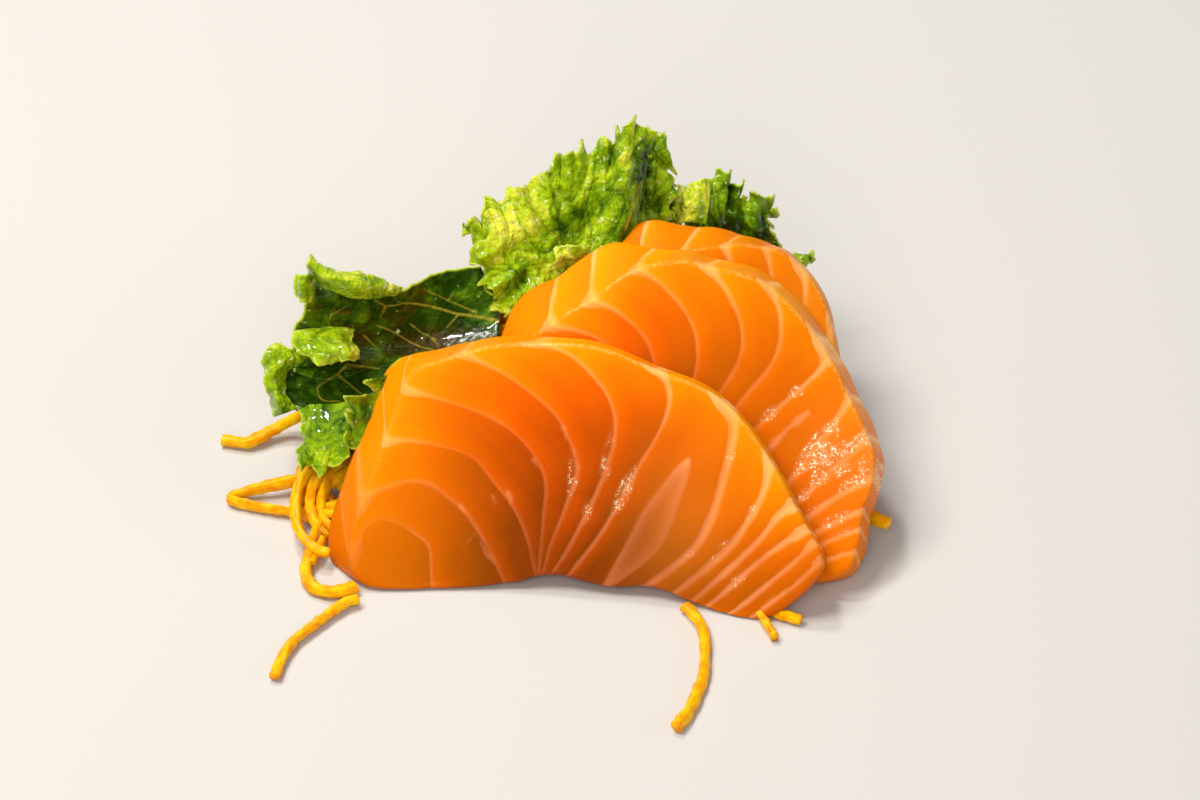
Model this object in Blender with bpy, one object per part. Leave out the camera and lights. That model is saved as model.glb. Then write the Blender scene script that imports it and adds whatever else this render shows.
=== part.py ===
"""Salmon sashimi: three leaning slices on a bed of shredded carrot, with lettuce leaves behind.

Run with: blender --background --python part.py

The slices lie like tiles on a slope. Three numbers place a point on that slope: ACROSS it, to the
right, UP it, and OUT of it, towards whoever eats. Sizes are in millimetres until a mesh is made,
and the meshes are in metres. The origin is on the table, under the bed of carrot.
"""

import math

import bmesh
import bpy
import numpy as np
from mathutils import Vector
from mathutils.bvhtree import BVHTree

MM = 0.001
SPLINE_STEPS = 24

# The slope that the slices lie on
LEAN = math.radians(38.0)
FOOT_Y = -30.0
TABLE_SOFTNESS = 1.2

# The face of the pile, as a height above the slope
PILE_TURN = 0.125
PILE_SETBACK = 2.3
PILE_RISE = 0.25
PILE_CROWN = 0.0055
PILE_WRAP = 0.009
PILE_WRAP_MIDDLE = 8.0
PILE_WRAP_START = 15.5
PILE_HEIGHT = 47.0

# Salmon slices
SLICE_THICK = 8.0
SLICE_GAP = 0.6
SLICE_EDGE_ROUND = 0.9
SLICE_SIDES = 40
SLICE_RINGS = (0.25, 0.5, 0.75, 0.95)

# Outline of each cut face, across and up, clockwise from its lower left, and how far the cut
# spreads towards its back: at least, at most, in which direction, and over how wide an angle
SLICES = {
    "slice_front": {
        "layer": 0,
        "outline": [(-36.4, 7.0), (-34.9, 16.4), (-29.5, 32.0), (-26.0, 41.0), (-20.4, 43.8),
                    (-8.7, 46.7), (6.7, 46.4), (18.0, 42.5), (30.4, 36.9), (38.5, 27.6),
                    (44.9, 16.0), (49.0, 8.0), (46.6, 3.0), (40.0, -2.6), (34.7, -3.9),
                    (26.9, -1.1), (18.7, 2.4), (10.4, 2.6), (0.7, 4.7), (-7.0, 3.2),
                    (-16.0, 2.0), (-27.0, 1.6), (-33.5, 2.8)],
        "spread": (0.6, 4.3, 165.0, 50.0),
    },
    "slice_middle": {
        "layer": 1,
        "outline": [(-14.0, 12.0), (-13.5, 25.0), (-9.5, 39.0), (-2.5, 48.9), (7.5, 54.2),
                    (14.9, 60.4), (23.6, 62.0), (28.5, 61.0), (38.0, 58.4), (45.5, 52.0),
                    (51.2, 43.6), (54.2, 37.5), (57.2, 31.0), (58.8, 25.5), (58.2, 20.5),
                    (56.6, 16.0), (55.4, 9.0), (52.6, 4.8), (44.5, 3.2), (36.0, 5.5),
                    (24.0, 7.5), (8.0, 8.0), (-6.0, 7.0)],
        "spread": (1.6, 7.0, 129.0, 28.0),
    },
    "slice_back": {
        "layer": 2,
        "outline": [(2.0, 36.0), (6.0, 50.0), (14.5, 60.0), (19.6, 62.5), (26.9, 64.5),
                    (34.5, 66.6), (41.5, 63.9), (48.2, 56.9), (51.0, 50.0), (52.0, 40.0),
                    (49.0, 30.0), (40.0, 25.0), (24.0, 24.0), (9.0, 27.0)],
        "spread": (0.6, 7.6, 119.0, 23.0),
    },
}

# Lettuce: each leaf hangs on a cage of points across, up and out, row by row from its hidden foot
# to its free edge, and ruffles fan out from its stalk. A slow second wave makes them uneven.
LEAF_THICK = 0.7
RUFFLE_GROWTH = 2.5
RUFFLE_EVEN = 0.75
RUFFLE_UNEVEN = 0.35
RUFFLE_UNEVEN_PACE = 1.1
LEAVES = {
    "lettuce_left": {
        "cage": [[(-8.0, 40.0, -28.0), (-20.0, 36.0, -24.0), (-33.0, 29.0, -21.0),
                  (-43.0, 24.5, -19.5), (-51.5, 36.0, -21.0)],
                 [(-10.0, 50.0, -31.0), (-22.0, 47.0, -29.5), (-33.0, 44.0, -27.0),
                  (-41.5, 43.0, -25.0), (-49.5, 46.0, -23.5)],
                 [(-15.0, 63.0, -34.0), (-21.0, 61.0, -34.0), (-28.0, 56.5, -32.0),
                  (-37.0, 60.5, -28.0), (-44.8, 62.7, -26.0)]],
        "grid": (38, 12),
        "stalk": (0.0, 0.45),
        "ruffles": 8.0,
        "ruffle_height": 2.2,
    },
    "lettuce_back": {
        "cage": [[(-10.0, 47.0, -35.0), (2.0, 48.0, -45.0), (12.0, 50.0, -50.0),
                  (20.0, 51.0, -52.0), (27.0, 52.0, -53.0)],
                 [(-11.0, 57.0, -29.0), (-2.0, 62.0, -33.0), (8.0, 67.0, -38.0),
                  (17.0, 69.0, -40.5), (24.5, 70.0, -43.0)],
                 [(-16.5, 68.5, -32.0), (-12.0, 73.0, -33.0), (-4.0, 76.0, -34.5), (0.0, 81.0, -35.0),
                  (8.0, 84.5, -36.0), (15.0, 88.0, -36.5), (21.0, 84.0, -37.0), (21.5, 77.0, -38.5)]],
        "grid": (40, 12),
        "stalk": (0.55, 0.0),
        "ruffles": 9.0,
        "ruffle_height": 2.6,
    },
    "lettuce_right": {
        "cage": [[(22.0, 46.0, -60.0), (33.0, 45.0, -60.0), (43.0, 44.0, -58.0)],
                 [(25.0, 63.0, -48.0), (34.0, 62.0, -49.0), (43.0, 57.0, -50.0)],
                 [(24.0, 76.0, -44.0), (31.0, 78.0, -44.0), (35.0, 77.5, -44.0), (38.5, 72.5, -44.5),
                  (43.0, 70.0, -45.0), (49.0, 61.5, -46.0)]],
        "grid": (26, 10),
        "stalk": (0.4, 0.0),
        "ruffles": 7.0,
        "ruffle_height": 2.2,
    },
}

# Carrot: a mound of shreds, with the ones that show laid over it
SHRED_WIDTH = 1.8
SHRED_REACH = 0.65 * SHRED_WIDTH
SHRED_CLEARANCE = 1.0
SHRED_REST = 1.1
SHRED_LOWEST = 0.05
SHRED_SINK = 0.5
TABLE_TWIST = 0.8
BED_TWIST = 1.2
HEAP_MIDDLE = (1.0, 20.0)
HEAP_HALF_WIDTH = 44.0
HEAP_HALF_DEPTH = 29.0
HEAP_HEIGHT = 22.0
HEAP_CLEARANCE = 1.5
HEAP_ROUND = 32
HEAP_RINGS = (1.0, 0.9, 0.78, 0.64, 0.48, 0.3, 0.14)
HEAP_SWELL = 1.8
HEAP_SPILL = 1.22
REACH_STEP = 0.02
REACH_LEAST = 0.1
TOP_STEP = 0.5

# Uneven sides of the mound: height as a share, waves round it, and their turn from ring to ring
HEAP_BUMPS = ((0.035, 3, 1), (0.03, 7, 2))

# Shreds dropped on the mound at random
LOOSE_SHREDS = 26
LOOSE_STEPS = 22
LOOSE_SPREAD = (0.3, 1.15)
LOOSE_LENGTH = (30.0, 52.0)
LOOSE_BEND = 0.06
LOOSE_SWING = 0.04
LOOSE_SWING_PACE = 0.5
LOOSE_TWIST = 1.5
SHRED_SEED = 13

# Shreds that poke out of the bed: points in x, y and z
BED_SHREDS = [
    [(-60.4, 15.4, 1.2), (-55.6, 15.7, 1.2), (-51.1, 15.6, 2.6), (-45.5, 16.4, 4.0), (-37.0, 19.0, 6.0)],
    [(-58.2, 0.6, 1.2), (-54.2, 1.0, 2.2), (-49.6, 0.0, 3.2), (-46.3, -3.0, 3.8), (-45.8, -8.5, 3.2),
     (-45.5, -13.0, 2.2), (-43.9, -17.0, 1.5), (-41.5, -20.0, 1.2)],
    [(-58.4, -2.3, 1.1), (-53.5, -3.0, 1.2), (-48.0, -5.0, 1.8), (-42.0, -3.5, 2.4), (-36.0, 3.0, 3.0),
     (-30.0, 10.0, 4.0)],
    [(-38.0, 9.0, 2.6), (-46.0, 3.5, 1.6), (-48.6, -5.0, 1.2), (-46.5, -12.0, 1.2), (-42.5, -14.0, 2.4),
     (-39.5, -11.0, 2.6)],
    [(-40.5, -12.0, 3.4), (-43.5, -16.8, 2.4), (-44.8, -20.5, 1.2), (-44.8, -24.5, 1.1),
     (-42.8, -28.0, 1.1), (-39.5, -29.6, 1.1), (-36.8, -30.2, 1.1)],
    [(-36.0, -4.0, 3.4), (-41.0, -8.0, 4.4), (-44.8, -10.5, 4.2), (-47.6, -13.5, 1.9), (-45.6, -18.0, 2.2),
     (-42.2, -22.5, 1.2)],
    [(32.0, 10.0, 5.0), (43.0, 3.0, 4.6), (52.0, -5.0, 4.4), (58.0, -10.5, 4.2), (61.3, -12.4, 3.9)],
]

# Shreds that lie on their own on the table, each a node: points in x and y
TABLE_SHREDS = {
    "carrot_shred_left": [(-37.6, -32.2), (-39.8, -34.4), (-42.7, -38.2), (-46.4, -42.9),
                          (-48.2, -48.0), (-49.3, -52.7)],
    "carrot_shred_front": [(25.9, -35.4), (26.9, -38.0), (27.6, -41.8), (27.8, -47.7),
                           (27.3, -52.7), (26.0, -58.0), (24.5, -62.8), (22.5, -67.1)],
    "carrot_shred_right": [(38.4, -37.0), (39.4, -38.8), (40.2, -41.4)],
    "carrot_stub_right": [(41.6, -35.4), (43.2, -35.8), (45.0, -36.6)],
}

# Finishes: colour as sRGB, roughness, metallic
FINISHES = {
    "salmon": ("F77A12", 0.35, 0.0),
    "carrot": ("F9B21A", 0.45, 0.0),
    "lettuce": ("5E8A16", 0.40, 0.0),
}


def slope_point(across, up, out):
    """World millimetres of a point on the slope, squeezed softly so that none is under the table."""
    y = FOOT_Y + up * math.sin(LEAN) - out * math.cos(LEAN)
    z = up * math.cos(LEAN) + out * math.sin(LEAN)
    z = 0.5 * (z + np.sqrt(z * z + TABLE_SOFTNESS ** 2))
    return np.stack(np.broadcast_arrays(across, y, z), axis=-1)


def pile_face(across, up):
    """How far the front face of the pile stands out: it rises, rounds over and wraps back."""
    wrap = (across - PILE_WRAP_MIDDLE) ** 2 * (up - PILE_WRAP_START) / PILE_HEIGHT
    return (PILE_TURN * across - PILE_SETBACK + PILE_RISE * up
            - PILE_CROWN * up ** 2 - PILE_WRAP * wrap)


def spline(points, count, closed=False):
    """Evenly spaced points on the smooth curve (Catmull-Rom) through the given ones."""
    knots = np.array(points, dtype=float)
    if closed:
        knots = np.vstack([knots[-1:], knots, knots[:2]])
    else:
        knots = np.vstack([2 * knots[0] - knots[1], knots, 2 * knots[-1] - knots[-2]])
    spans = len(knots) - 3
    place = np.linspace(0.0, spans, SPLINE_STEPS * spans + 1)
    span = np.minimum(place.astype(int), spans - 1)
    t = (place - span)[:, None]
    a, b, c, d = (knots[span + step] for step in range(4))
    curve = 0.5 * (2 * b + (c - a) * t + (2 * a - 5 * b + 4 * c - d) * t ** 2
                   + (3 * b - a - 3 * c + d) * t ** 3)
    length = np.concatenate([[0.0], np.cumsum(np.linalg.norm(np.diff(curve, axis=0), axis=1))])
    wanted = np.linspace(0.0, length[-1], count, endpoint=not closed)
    return np.stack([np.interp(wanted, length, axis) for axis in curve.T], axis=1)


def material(name):
    """A plain finish of this name, from FINISHES."""
    if name in bpy.data.materials:
        return bpy.data.materials[name]
    hex_colour, roughness, metallic = FINISHES[name]
    srgb = [int(hex_colour[i:i + 2], 16) / 255 for i in (0, 2, 4)]
    linear = [c / 12.92 if c <= 0.04045 else ((c + 0.055) / 1.055) ** 2.4 for c in srgb]
    made = bpy.data.materials.new(name)
    made.use_nodes = True
    shader = made.node_tree.nodes["Principled BSDF"]
    shader.inputs["Base Color"].default_value = (*linear, 1.0)
    shader.inputs["Roughness"].default_value = roughness
    shader.inputs["Metallic"].default_value = metallic
    return made


def add_object(name, points, faces, finish, sharp_angle=60.0):
    """One object from points in millimetres and faces that point outwards."""
    mesh = bpy.data.meshes.new(name)
    mesh.from_pydata([tuple(point) for point in np.asarray(points) * MM], [], faces)
    mesh.materials.append(material(finish))
    mesh.shade_smooth()
    mesh.set_sharp_from_angle(angle=math.radians(sharp_angle))
    placed = bpy.data.objects.new(name, mesh)
    bpy.context.scene.collection.objects.link(placed)
    return placed


def spread_outline(outline, spread):
    """The outline of a slice's back: the face's outline, moved out by more on one side."""
    least, most, direction, width = spread
    along = np.roll(outline, -1, axis=0) - np.roll(outline, 1, axis=0)
    outward = np.stack([-along[:, 1], along[:, 0]], axis=1)
    outward /= np.linalg.norm(outward, axis=1)[:, None]
    angle = np.degrees(np.arctan2(outward[:, 1], outward[:, 0]))
    turn = (angle - direction + 180.0) % 360.0 - 180.0
    distance = least + (most - least) * np.exp(-(turn / width) ** 2)
    return outline + outward * distance[:, None]


def build_slice(name, spec):
    """A slice: rings that grow from the middle of its cut face, round the edge, to the back."""
    face = spline(spec["outline"], SLICE_SIDES, closed=True)
    back = spread_outline(face, spec["spread"])
    face_middle = face.mean(axis=0)
    back_middle = back.mean(axis=0)
    front_depth = spec["layer"] * (SLICE_THICK + SLICE_GAP)
    back_depth = front_depth + SLICE_THICK

    def ring(outline, middle, share, depth):
        across, up = (middle + (outline - middle) * share).T
        return slope_point(across, up, pile_face(across, up) - depth)

    rings = [ring(face, face_middle, share, front_depth) for share in SLICE_RINGS]
    rings.append(ring(face, face_middle, 1.0, front_depth + SLICE_EDGE_ROUND))
    rings.append(ring(back, back_middle, 1.0, back_depth - SLICE_EDGE_ROUND))
    rings += [ring(back, back_middle, share, back_depth) for share in reversed(SLICE_RINGS)]
    poles = [ring(face[:1], face_middle, 0.0, front_depth), ring(back[:1], back_middle, 0.0, back_depth)]
    points = np.vstack(rings + poles)
    front_pole = len(rings) * SLICE_SIDES
    faces = []
    for side in range(SLICE_SIDES):
        after = (side + 1) % SLICE_SIDES
        faces.append((front_pole, after, side))
        for step in range(len(rings) - 1):
            near = step * SLICE_SIDES
            far = near + SLICE_SIDES
            faces.append((near + side, near + after, far + after))
            faces.append((near + side, far + after, far + side))
        last = (len(rings) - 1) * SLICE_SIDES
        faces.append((front_pole + 1, last + side, last + after))
    return add_object(name, points, faces, "salmon")


def cage_surface(cage, u_count, v_count):
    """Grid of points on the smooth sheet through a cage's rows, with rows evenly spaced."""
    rows = [spline(row, u_count) for row in cage]
    return np.stack([spline([row[u] for row in rows], v_count) for u in range(u_count)])


def sheet_normals(sheet):
    """Unit normals of a grid of points, from its two directions."""
    normal = np.cross(np.gradient(sheet, axis=0), np.gradient(sheet, axis=1))
    return normal / np.linalg.norm(normal, axis=2)[:, :, None]


def leaf_sheet(spec):
    """A leaf's middle surface: its cage, with ruffles that fan out and grow towards its edges."""
    u_count, v_count = spec["grid"]
    sheet = cage_surface(spec["cage"], u_count, v_count)
    sheet = slope_point(sheet[:, :, 0], sheet[:, :, 1], sheet[:, :, 2])
    u = np.linspace(0.0, 1.0, u_count)[:, None]
    v = np.linspace(0.0, 1.0, v_count)[None, :]
    stalk_u, stalk_v = spec["stalk"]
    angle = np.arctan2(v - stalk_v, u - stalk_u)
    reach = np.clip(np.hypot(u - stalk_u, v - stalk_v), 0.0, 1.0)
    turn = spec["ruffles"] * angle
    wave = np.sin(2 * turn) * (RUFFLE_EVEN + RUFFLE_UNEVEN * np.sin(RUFFLE_UNEVEN_PACE * turn + 1.0))
    lift = spec["ruffle_height"] * reach ** RUFFLE_GROWTH * wave
    return sheet + sheet_normals(sheet) * lift[:, :, None]


def build_leaf(name, spec):
    """A thin wavy solid: the leaf's sheet moved half its thickness each way, and closed round."""
    sheet = leaf_sheet(spec)
    half = sheet_normals(sheet) * (LEAF_THICK / 2)
    u_count, v_count = sheet.shape[:2]
    points = np.vstack([(sheet + half).reshape(-1, 3), (sheet - half).reshape(-1, 3)])
    below = u_count * v_count
    faces = []

    def at(u, v):
        return u * v_count + v

    for u in range(u_count - 1):
        for v in range(v_count - 1):
            a, b, c, d = at(u, v), at(u + 1, v), at(u + 1, v + 1), at(u, v + 1)
            faces += [(a, b, c), (a, c, d)]
            faces += [(below + a, below + c, below + b), (below + a, below + d, below + c)]
    edge = [at(u, 0) for u in range(u_count)] + [at(u_count - 1, v) for v in range(1, v_count)]
    edge += [at(u, v_count - 1) for u in range(u_count - 2, -1, -1)]
    edge += [at(0, v) for v in range(v_count - 2, 0, -1)]
    for a, b in zip(edge, edge[1:] + edge[:1]):
        faces += [(a, below + b, b), (a, below + a, below + b)]
    return add_object(name, points, faces, "lettuce")


def clearance(trees, point):
    """Distance in millimetres from a point to the nearest of the other pieces."""
    return min(tree.find_nearest(Vector(point) * MM)[3] for tree in trees) / MM


def build_core(trees):
    """The mound: rays from its middle reach the dome, or stop short of the pieces round it."""
    middle = np.array([*HEAP_MIDDLE, 0.0])
    levels = len(HEAP_RINGS)
    reaches = np.zeros((levels, HEAP_ROUND, 3))
    shares = np.ones((levels, HEAP_ROUND))
    for level, out in enumerate(HEAP_RINGS):
        for turn in range(HEAP_ROUND):
            angle = 2 * math.pi * (turn + 0.5 * (level % 2)) / HEAP_ROUND
            bump = 1.0 + sum(height * math.sin(waves * angle + shift * level)
                             for height, waves, shift in HEAP_BUMPS)
            reach = np.array([HEAP_HALF_WIDTH * out * math.cos(angle) * bump,
                              HEAP_HALF_DEPTH * out * math.sin(angle) * bump,
                              HEAP_HEIGHT * (1.0 - out ** HEAP_SWELL)])
            share = REACH_LEAST
            while share < 1.0 and clearance(trees, middle + reach * (share + REACH_STEP)) > HEAP_CLEARANCE:
                share += REACH_STEP
            reaches[level, turn] = reach
            shares[level, turn] = share
    around = [np.roll(shares, step, axis=1) for step in (-1, 0, 1)]
    shares = np.min(around, axis=0)
    shares[1:-1] = np.minimum(shares[1:-1], np.minimum(shares[:-2], shares[2:]))
    points = list((middle + reaches * shares[:, :, None]).reshape(-1, 3))
    top = middle + np.array([0.0, 0.0, HEAP_HEIGHT])
    while clearance(trees, top) < 3 * HEAP_CLEARANCE:
        top[2] -= TOP_STEP
    points += [top, middle]
    faces = []
    for level in range(levels - 1):
        for turn in range(HEAP_ROUND):
            a = level * HEAP_ROUND + turn
            b = level * HEAP_ROUND + (turn + 1) % HEAP_ROUND
            c, d = b + HEAP_ROUND, a + HEAP_ROUND
            if level % 2:
                faces += [(a, b, c), (a, c, d)]
            else:
                faces += [(a, b, d), (b, c, d)]
    last = (levels - 1) * HEAP_ROUND
    for turn in range(HEAP_ROUND):
        after = (turn + 1) % HEAP_ROUND
        faces.append((last + turn, last + after, last + HEAP_ROUND))
        faces.append((after, turn, last + HEAP_ROUND + 1))
    return add_object("carrot_shreds", points, faces, "carrot")


def clear_run(path, trees):
    """The longest unbroken stretch of a path that keeps clear of the other pieces."""
    free = [clearance(trees, point) > SHRED_REACH + SHRED_CLEARANCE for point in path]
    best, start = (0, 0), None
    for place, ok in enumerate(free + [False]):
        if ok and start is None:
            start = place
        if not ok and start is not None:
            best = max(best, (start, place), key=lambda run: run[1] - run[0])
            start = None
    return path[best[0]:best[1]]


def shred_solid(name, path, twist):
    """A square strip along a path: four corners that turn slowly, and two closed ends."""
    tangent = np.gradient(path, axis=0)
    tangent /= np.linalg.norm(tangent, axis=1)[:, None]
    side = np.cross(tangent, [0.0, 0.0, 1.0])
    side /= np.linalg.norm(side, axis=1)[:, None]
    rise = np.cross(side, tangent)
    turn = twist * np.linspace(0.0, 1.0, len(path))[:, None]
    radius = SHRED_WIDTH / 2 * math.sqrt(2.0)
    corners = []
    for corner in range(4):
        angle = turn + math.pi / 4 + corner * math.pi / 2
        corners.append(path + radius * (np.cos(angle) * side + np.sin(angle) * rise))
    points = np.stack(corners, axis=1).reshape(-1, 3)
    points[:, 2] = np.maximum(points[:, 2], SHRED_LOWEST)
    faces = [(0, 1, 2, 3), tuple(range(len(points) - 1, len(points) - 5, -1))]
    for step in range(len(path) - 1):
        for corner in range(4):
            a = 4 * step + corner
            b = 4 * step + (corner + 1) % 4
            faces.append((a, a + 4, b + 4, b))
    return add_object(name, points, faces, "carrot", sharp_angle=40.0)


def loose_path(rng, mound):
    """A shred dropped on the bed: a bending line on the ground plan that lies on the mound."""
    angle = rng.uniform(0.0, 2 * math.pi)
    reach = math.sqrt(rng.uniform(*LOOSE_SPREAD))
    x = HEAP_MIDDLE[0] + HEAP_HALF_WIDTH * reach * math.cos(angle)
    y = HEAP_MIDDLE[1] + HEAP_HALF_DEPTH * reach * math.sin(angle)
    heading = rng.uniform(0.0, 2 * math.pi)
    bend = rng.uniform(-LOOSE_BEND, LOOSE_BEND)
    swing = rng.uniform(-LOOSE_SWING, LOOSE_SWING)
    stride = rng.uniform(*LOOSE_LENGTH) / LOOSE_STEPS
    path = np.zeros((LOOSE_STEPS, 3))
    for step in range(LOOSE_STEPS):
        heading += (bend + swing * math.sin(step * LOOSE_SWING_PACE)) * stride
        x += stride * math.cos(heading)
        y += stride * math.sin(heading)
        hit = mound.ray_cast(Vector((x, y, 100.0)) * MM, Vector((0.0, 0.0, -1.0)))[0]
        path[step] = (x, y, hit.z / MM if hit else 0.0)
    padded = np.pad(path[:, 2], 2, mode="edge")
    smooth = (padded[:-4] + padded[1:-3] + padded[2:-2] + padded[3:-1] + padded[4:]) / 5
    path[:, 2] = np.maximum(smooth + SHRED_SINK, SHRED_REST)
    return path


def join_shreds(core, strands):
    """Fuse the strands to the mound with one union, and keep its largest piece alone."""
    bundle = bpy.data.collections.new("shreds")
    bpy.context.scene.collection.children.link(bundle)
    for strand in strands:
        bpy.context.scene.collection.objects.unlink(strand)
        bundle.objects.link(strand)
    union = core.modifiers.new("fuse", "BOOLEAN")
    union.operation = "UNION"
    union.operand_type = "COLLECTION"
    union.collection = bundle
    union.solver = "EXACT"
    fused = bpy.data.meshes.new_from_object(core.evaluated_get(bpy.context.evaluated_depsgraph_get()))
    core.modifiers.clear()
    core.data = fused
    for strand in strands:
        bpy.data.objects.remove(strand)
    bpy.data.collections.remove(bundle)
    shape = bmesh.new()
    shape.from_mesh(fused)
    shape.verts.ensure_lookup_table()
    unseen = set(range(len(shape.verts)))
    largest = set()
    while unseen:
        piece, edge = set(), {unseen.pop()}
        while edge:
            piece |= edge
            edge = {link.other_vert(shape.verts[i]).index for i in edge
                    for link in shape.verts[i].link_edges} - piece
        unseen -= piece
        largest = max(largest, piece, key=len)
    loose = [vert for vert in shape.verts if vert.index not in largest]
    bmesh.ops.delete(shape, geom=loose, context="VERTS")
    shape.to_mesh(fused)
    shape.free()
    return core


def solid_tree(placed):
    """A search tree of an object's faces."""
    mesh = placed.data
    return BVHTree.FromPolygons([v.co for v in mesh.vertices], [tuple(p.vertices) for p in mesh.polygons])


def main():
    for old in list(bpy.data.objects):
        bpy.data.objects.remove(old)
    solids = [build_slice(name, spec) for name, spec in SLICES.items()]
    solids += [build_leaf(name, spec) for name, spec in LEAVES.items()]
    trees = [solid_tree(solid) for solid in solids]
    for name, points in TABLE_SHREDS.items():
        path = spline([(x, y, SHRED_REST) for x, y in points], 2 * len(points))
        solids.append(shred_solid(name, path, TABLE_TWIST))
        trees.append(solid_tree(solids[-1]))
    core = build_core(trees)
    rng = np.random.default_rng(SHRED_SEED)
    strands = []
    for number, points in enumerate(BED_SHREDS):
        path = clear_run(spline(points, 4 * len(points)), trees)[::2]
        if len(path) > 2:
            strands.append(shred_solid(f"bed_{number}", path, BED_TWIST))
    mound = solid_tree(core)
    while len(strands) < len(BED_SHREDS) + LOOSE_SHREDS:
        path = clear_run(loose_path(rng, mound), trees)[::3]
        spill = np.hypot((path[:, 0] - HEAP_MIDDLE[0]) / HEAP_HALF_WIDTH,
                         (path[:, 1] - HEAP_MIDDLE[1]) / HEAP_HALF_DEPTH)
        if len(path) > 3 and spill.max() < HEAP_SPILL:
            twist = rng.uniform(-LOOSE_TWIST, LOOSE_TWIST)
            strands.append(shred_solid(f"loose_{len(strands)}", path, twist))
    join_shreds(core, strands)


main()
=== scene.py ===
"""Looks of a serving of salmon sashimi: wet raw slices, a bed of cut carrot and ruffled lettuce.

The slices lie like tiles on a slope. A point on it has three numbers, in millimetres: ACROSS the
slope to the right, UP it, and OUT of it towards whoever eats. Every piece is worked out in
millimetres and becomes metres when its mesh is made.
"""

import math

import bpy
import numpy as np
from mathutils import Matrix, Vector
from mathutils.bvhtree import BVHTree


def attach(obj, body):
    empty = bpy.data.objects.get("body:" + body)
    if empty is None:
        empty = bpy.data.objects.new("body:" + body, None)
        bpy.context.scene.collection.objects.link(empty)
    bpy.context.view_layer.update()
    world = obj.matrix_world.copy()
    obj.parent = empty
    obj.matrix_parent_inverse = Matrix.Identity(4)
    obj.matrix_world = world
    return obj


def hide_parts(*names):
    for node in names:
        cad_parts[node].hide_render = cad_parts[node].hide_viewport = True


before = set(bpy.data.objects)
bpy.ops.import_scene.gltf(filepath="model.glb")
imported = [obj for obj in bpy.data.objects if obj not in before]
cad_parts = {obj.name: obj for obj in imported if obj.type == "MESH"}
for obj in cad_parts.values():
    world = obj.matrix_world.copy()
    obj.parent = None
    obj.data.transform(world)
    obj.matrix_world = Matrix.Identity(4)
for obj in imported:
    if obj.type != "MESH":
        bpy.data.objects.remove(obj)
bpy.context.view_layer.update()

MM = 0.001
SPLINE_STEPS = 24
# Distances that stand for "nowhere near": of a streak or vein, and of a leaf's free edge
FAR = 9.0
NO_RIM = 30.0

# The slope that the slices lie on, and the table under it
LEAN = math.radians(38.0)
FOOT_Y = -30.0
TABLE_SOFTNESS = 1.2

# The face of the pile, as a height above the slope
PILE_TURN = 0.125
PILE_SETBACK = 2.3
PILE_RISE = 0.25
PILE_CROWN = 0.0055
PILE_WRAP = 0.009
PILE_WRAP_MIDDLE = 8.0
PILE_WRAP_START = 15.5
PILE_HEIGHT = 47.0

# Salmon slices: thickness, the gap between two, and the grid of their skin. The round of the rim
# starts at a share of the way out. What is seen on the cut face fades out between two depths.
SLICE_THICK = 8.0
SLICE_GAP = 0.6
SLICE_EDGE_ROUND = 0.9
ROUND_START = 0.95
FACE_END = (0.8, 2.2)
CUT_SKIN = 0.05
UV_SIZE = 100.0
AROUND = 520
SPREAD_SMOOTHING = AROUND // 40
FACE_ROWS = 96
ROUND_ROWS = 5
WALL_ROWS = 12
BACK_ROWS = 26

# Relief of the flesh: it stands up between the fat lines, more at the rim, and the knife left soft waves
FLAKE_RELIEF = 0.08
FLAKE_GROOVE = 1.1
FLAKE_SUNK = 0.5
RELIEF_END = 0.9
RIM_BULGE = 0.2
RIM_GROOVE = 1.6
RIM_SUNK = 0.6
RIM_START = 0.75
CUT_WAVE = 0.12
CUT_WAVE_LENGTH = 14.0

# The painted highlight along the rim of the cut face: its place as a share of the way out, and its width
RIM_HIGHLIGHT_AT = 0.984
RIM_HIGHLIGHT_WIDTH = 0.007

# Fat lines: the space outside the first and last one, and their widths along them as shares of the
# width in mid-run. Each ends in a wedge at the rim, and is narrower on the slice's sides.
LINE_POINTS = 48
MARK_POINTS = 24
OUTER_GAP = 8.0
OUTER_SHARE = 0.45
NARROWEST_GAP = 0.05
LINE_TAPER = ((0.0, 0.25, 0.7, 1.0), (1.3, 0.8, 1.0, 0.7))
WEDGE = 1.5
WEDGE_LENGTH = 0.06
WALL_LINES = 0.55
WIDEST_LINE = 0.45

# How much stronger the fat is where a line meets the rim, towards its foot and on the slice's sides,
# how much fainter in the lower left corner, how golden the flesh gets on the right, and how strong
# the pale mark is in its middle and more so at its edges
FAT_AT_RIM = 0.36
FAT_RIM_REACH = 0.1
FAT_AT_FOOT = 0.16
FAT_FOOT = (0.5, 0.85)
FAT_ON_WALL = 0.12
FAINT_CORNER = 0.6
RIGHT_AMBER = 0.6
VEIL_MIDDLE = 0.12
VEIL_LEFT = 0.5
VEIL_RIGHT = 0.44
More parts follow.
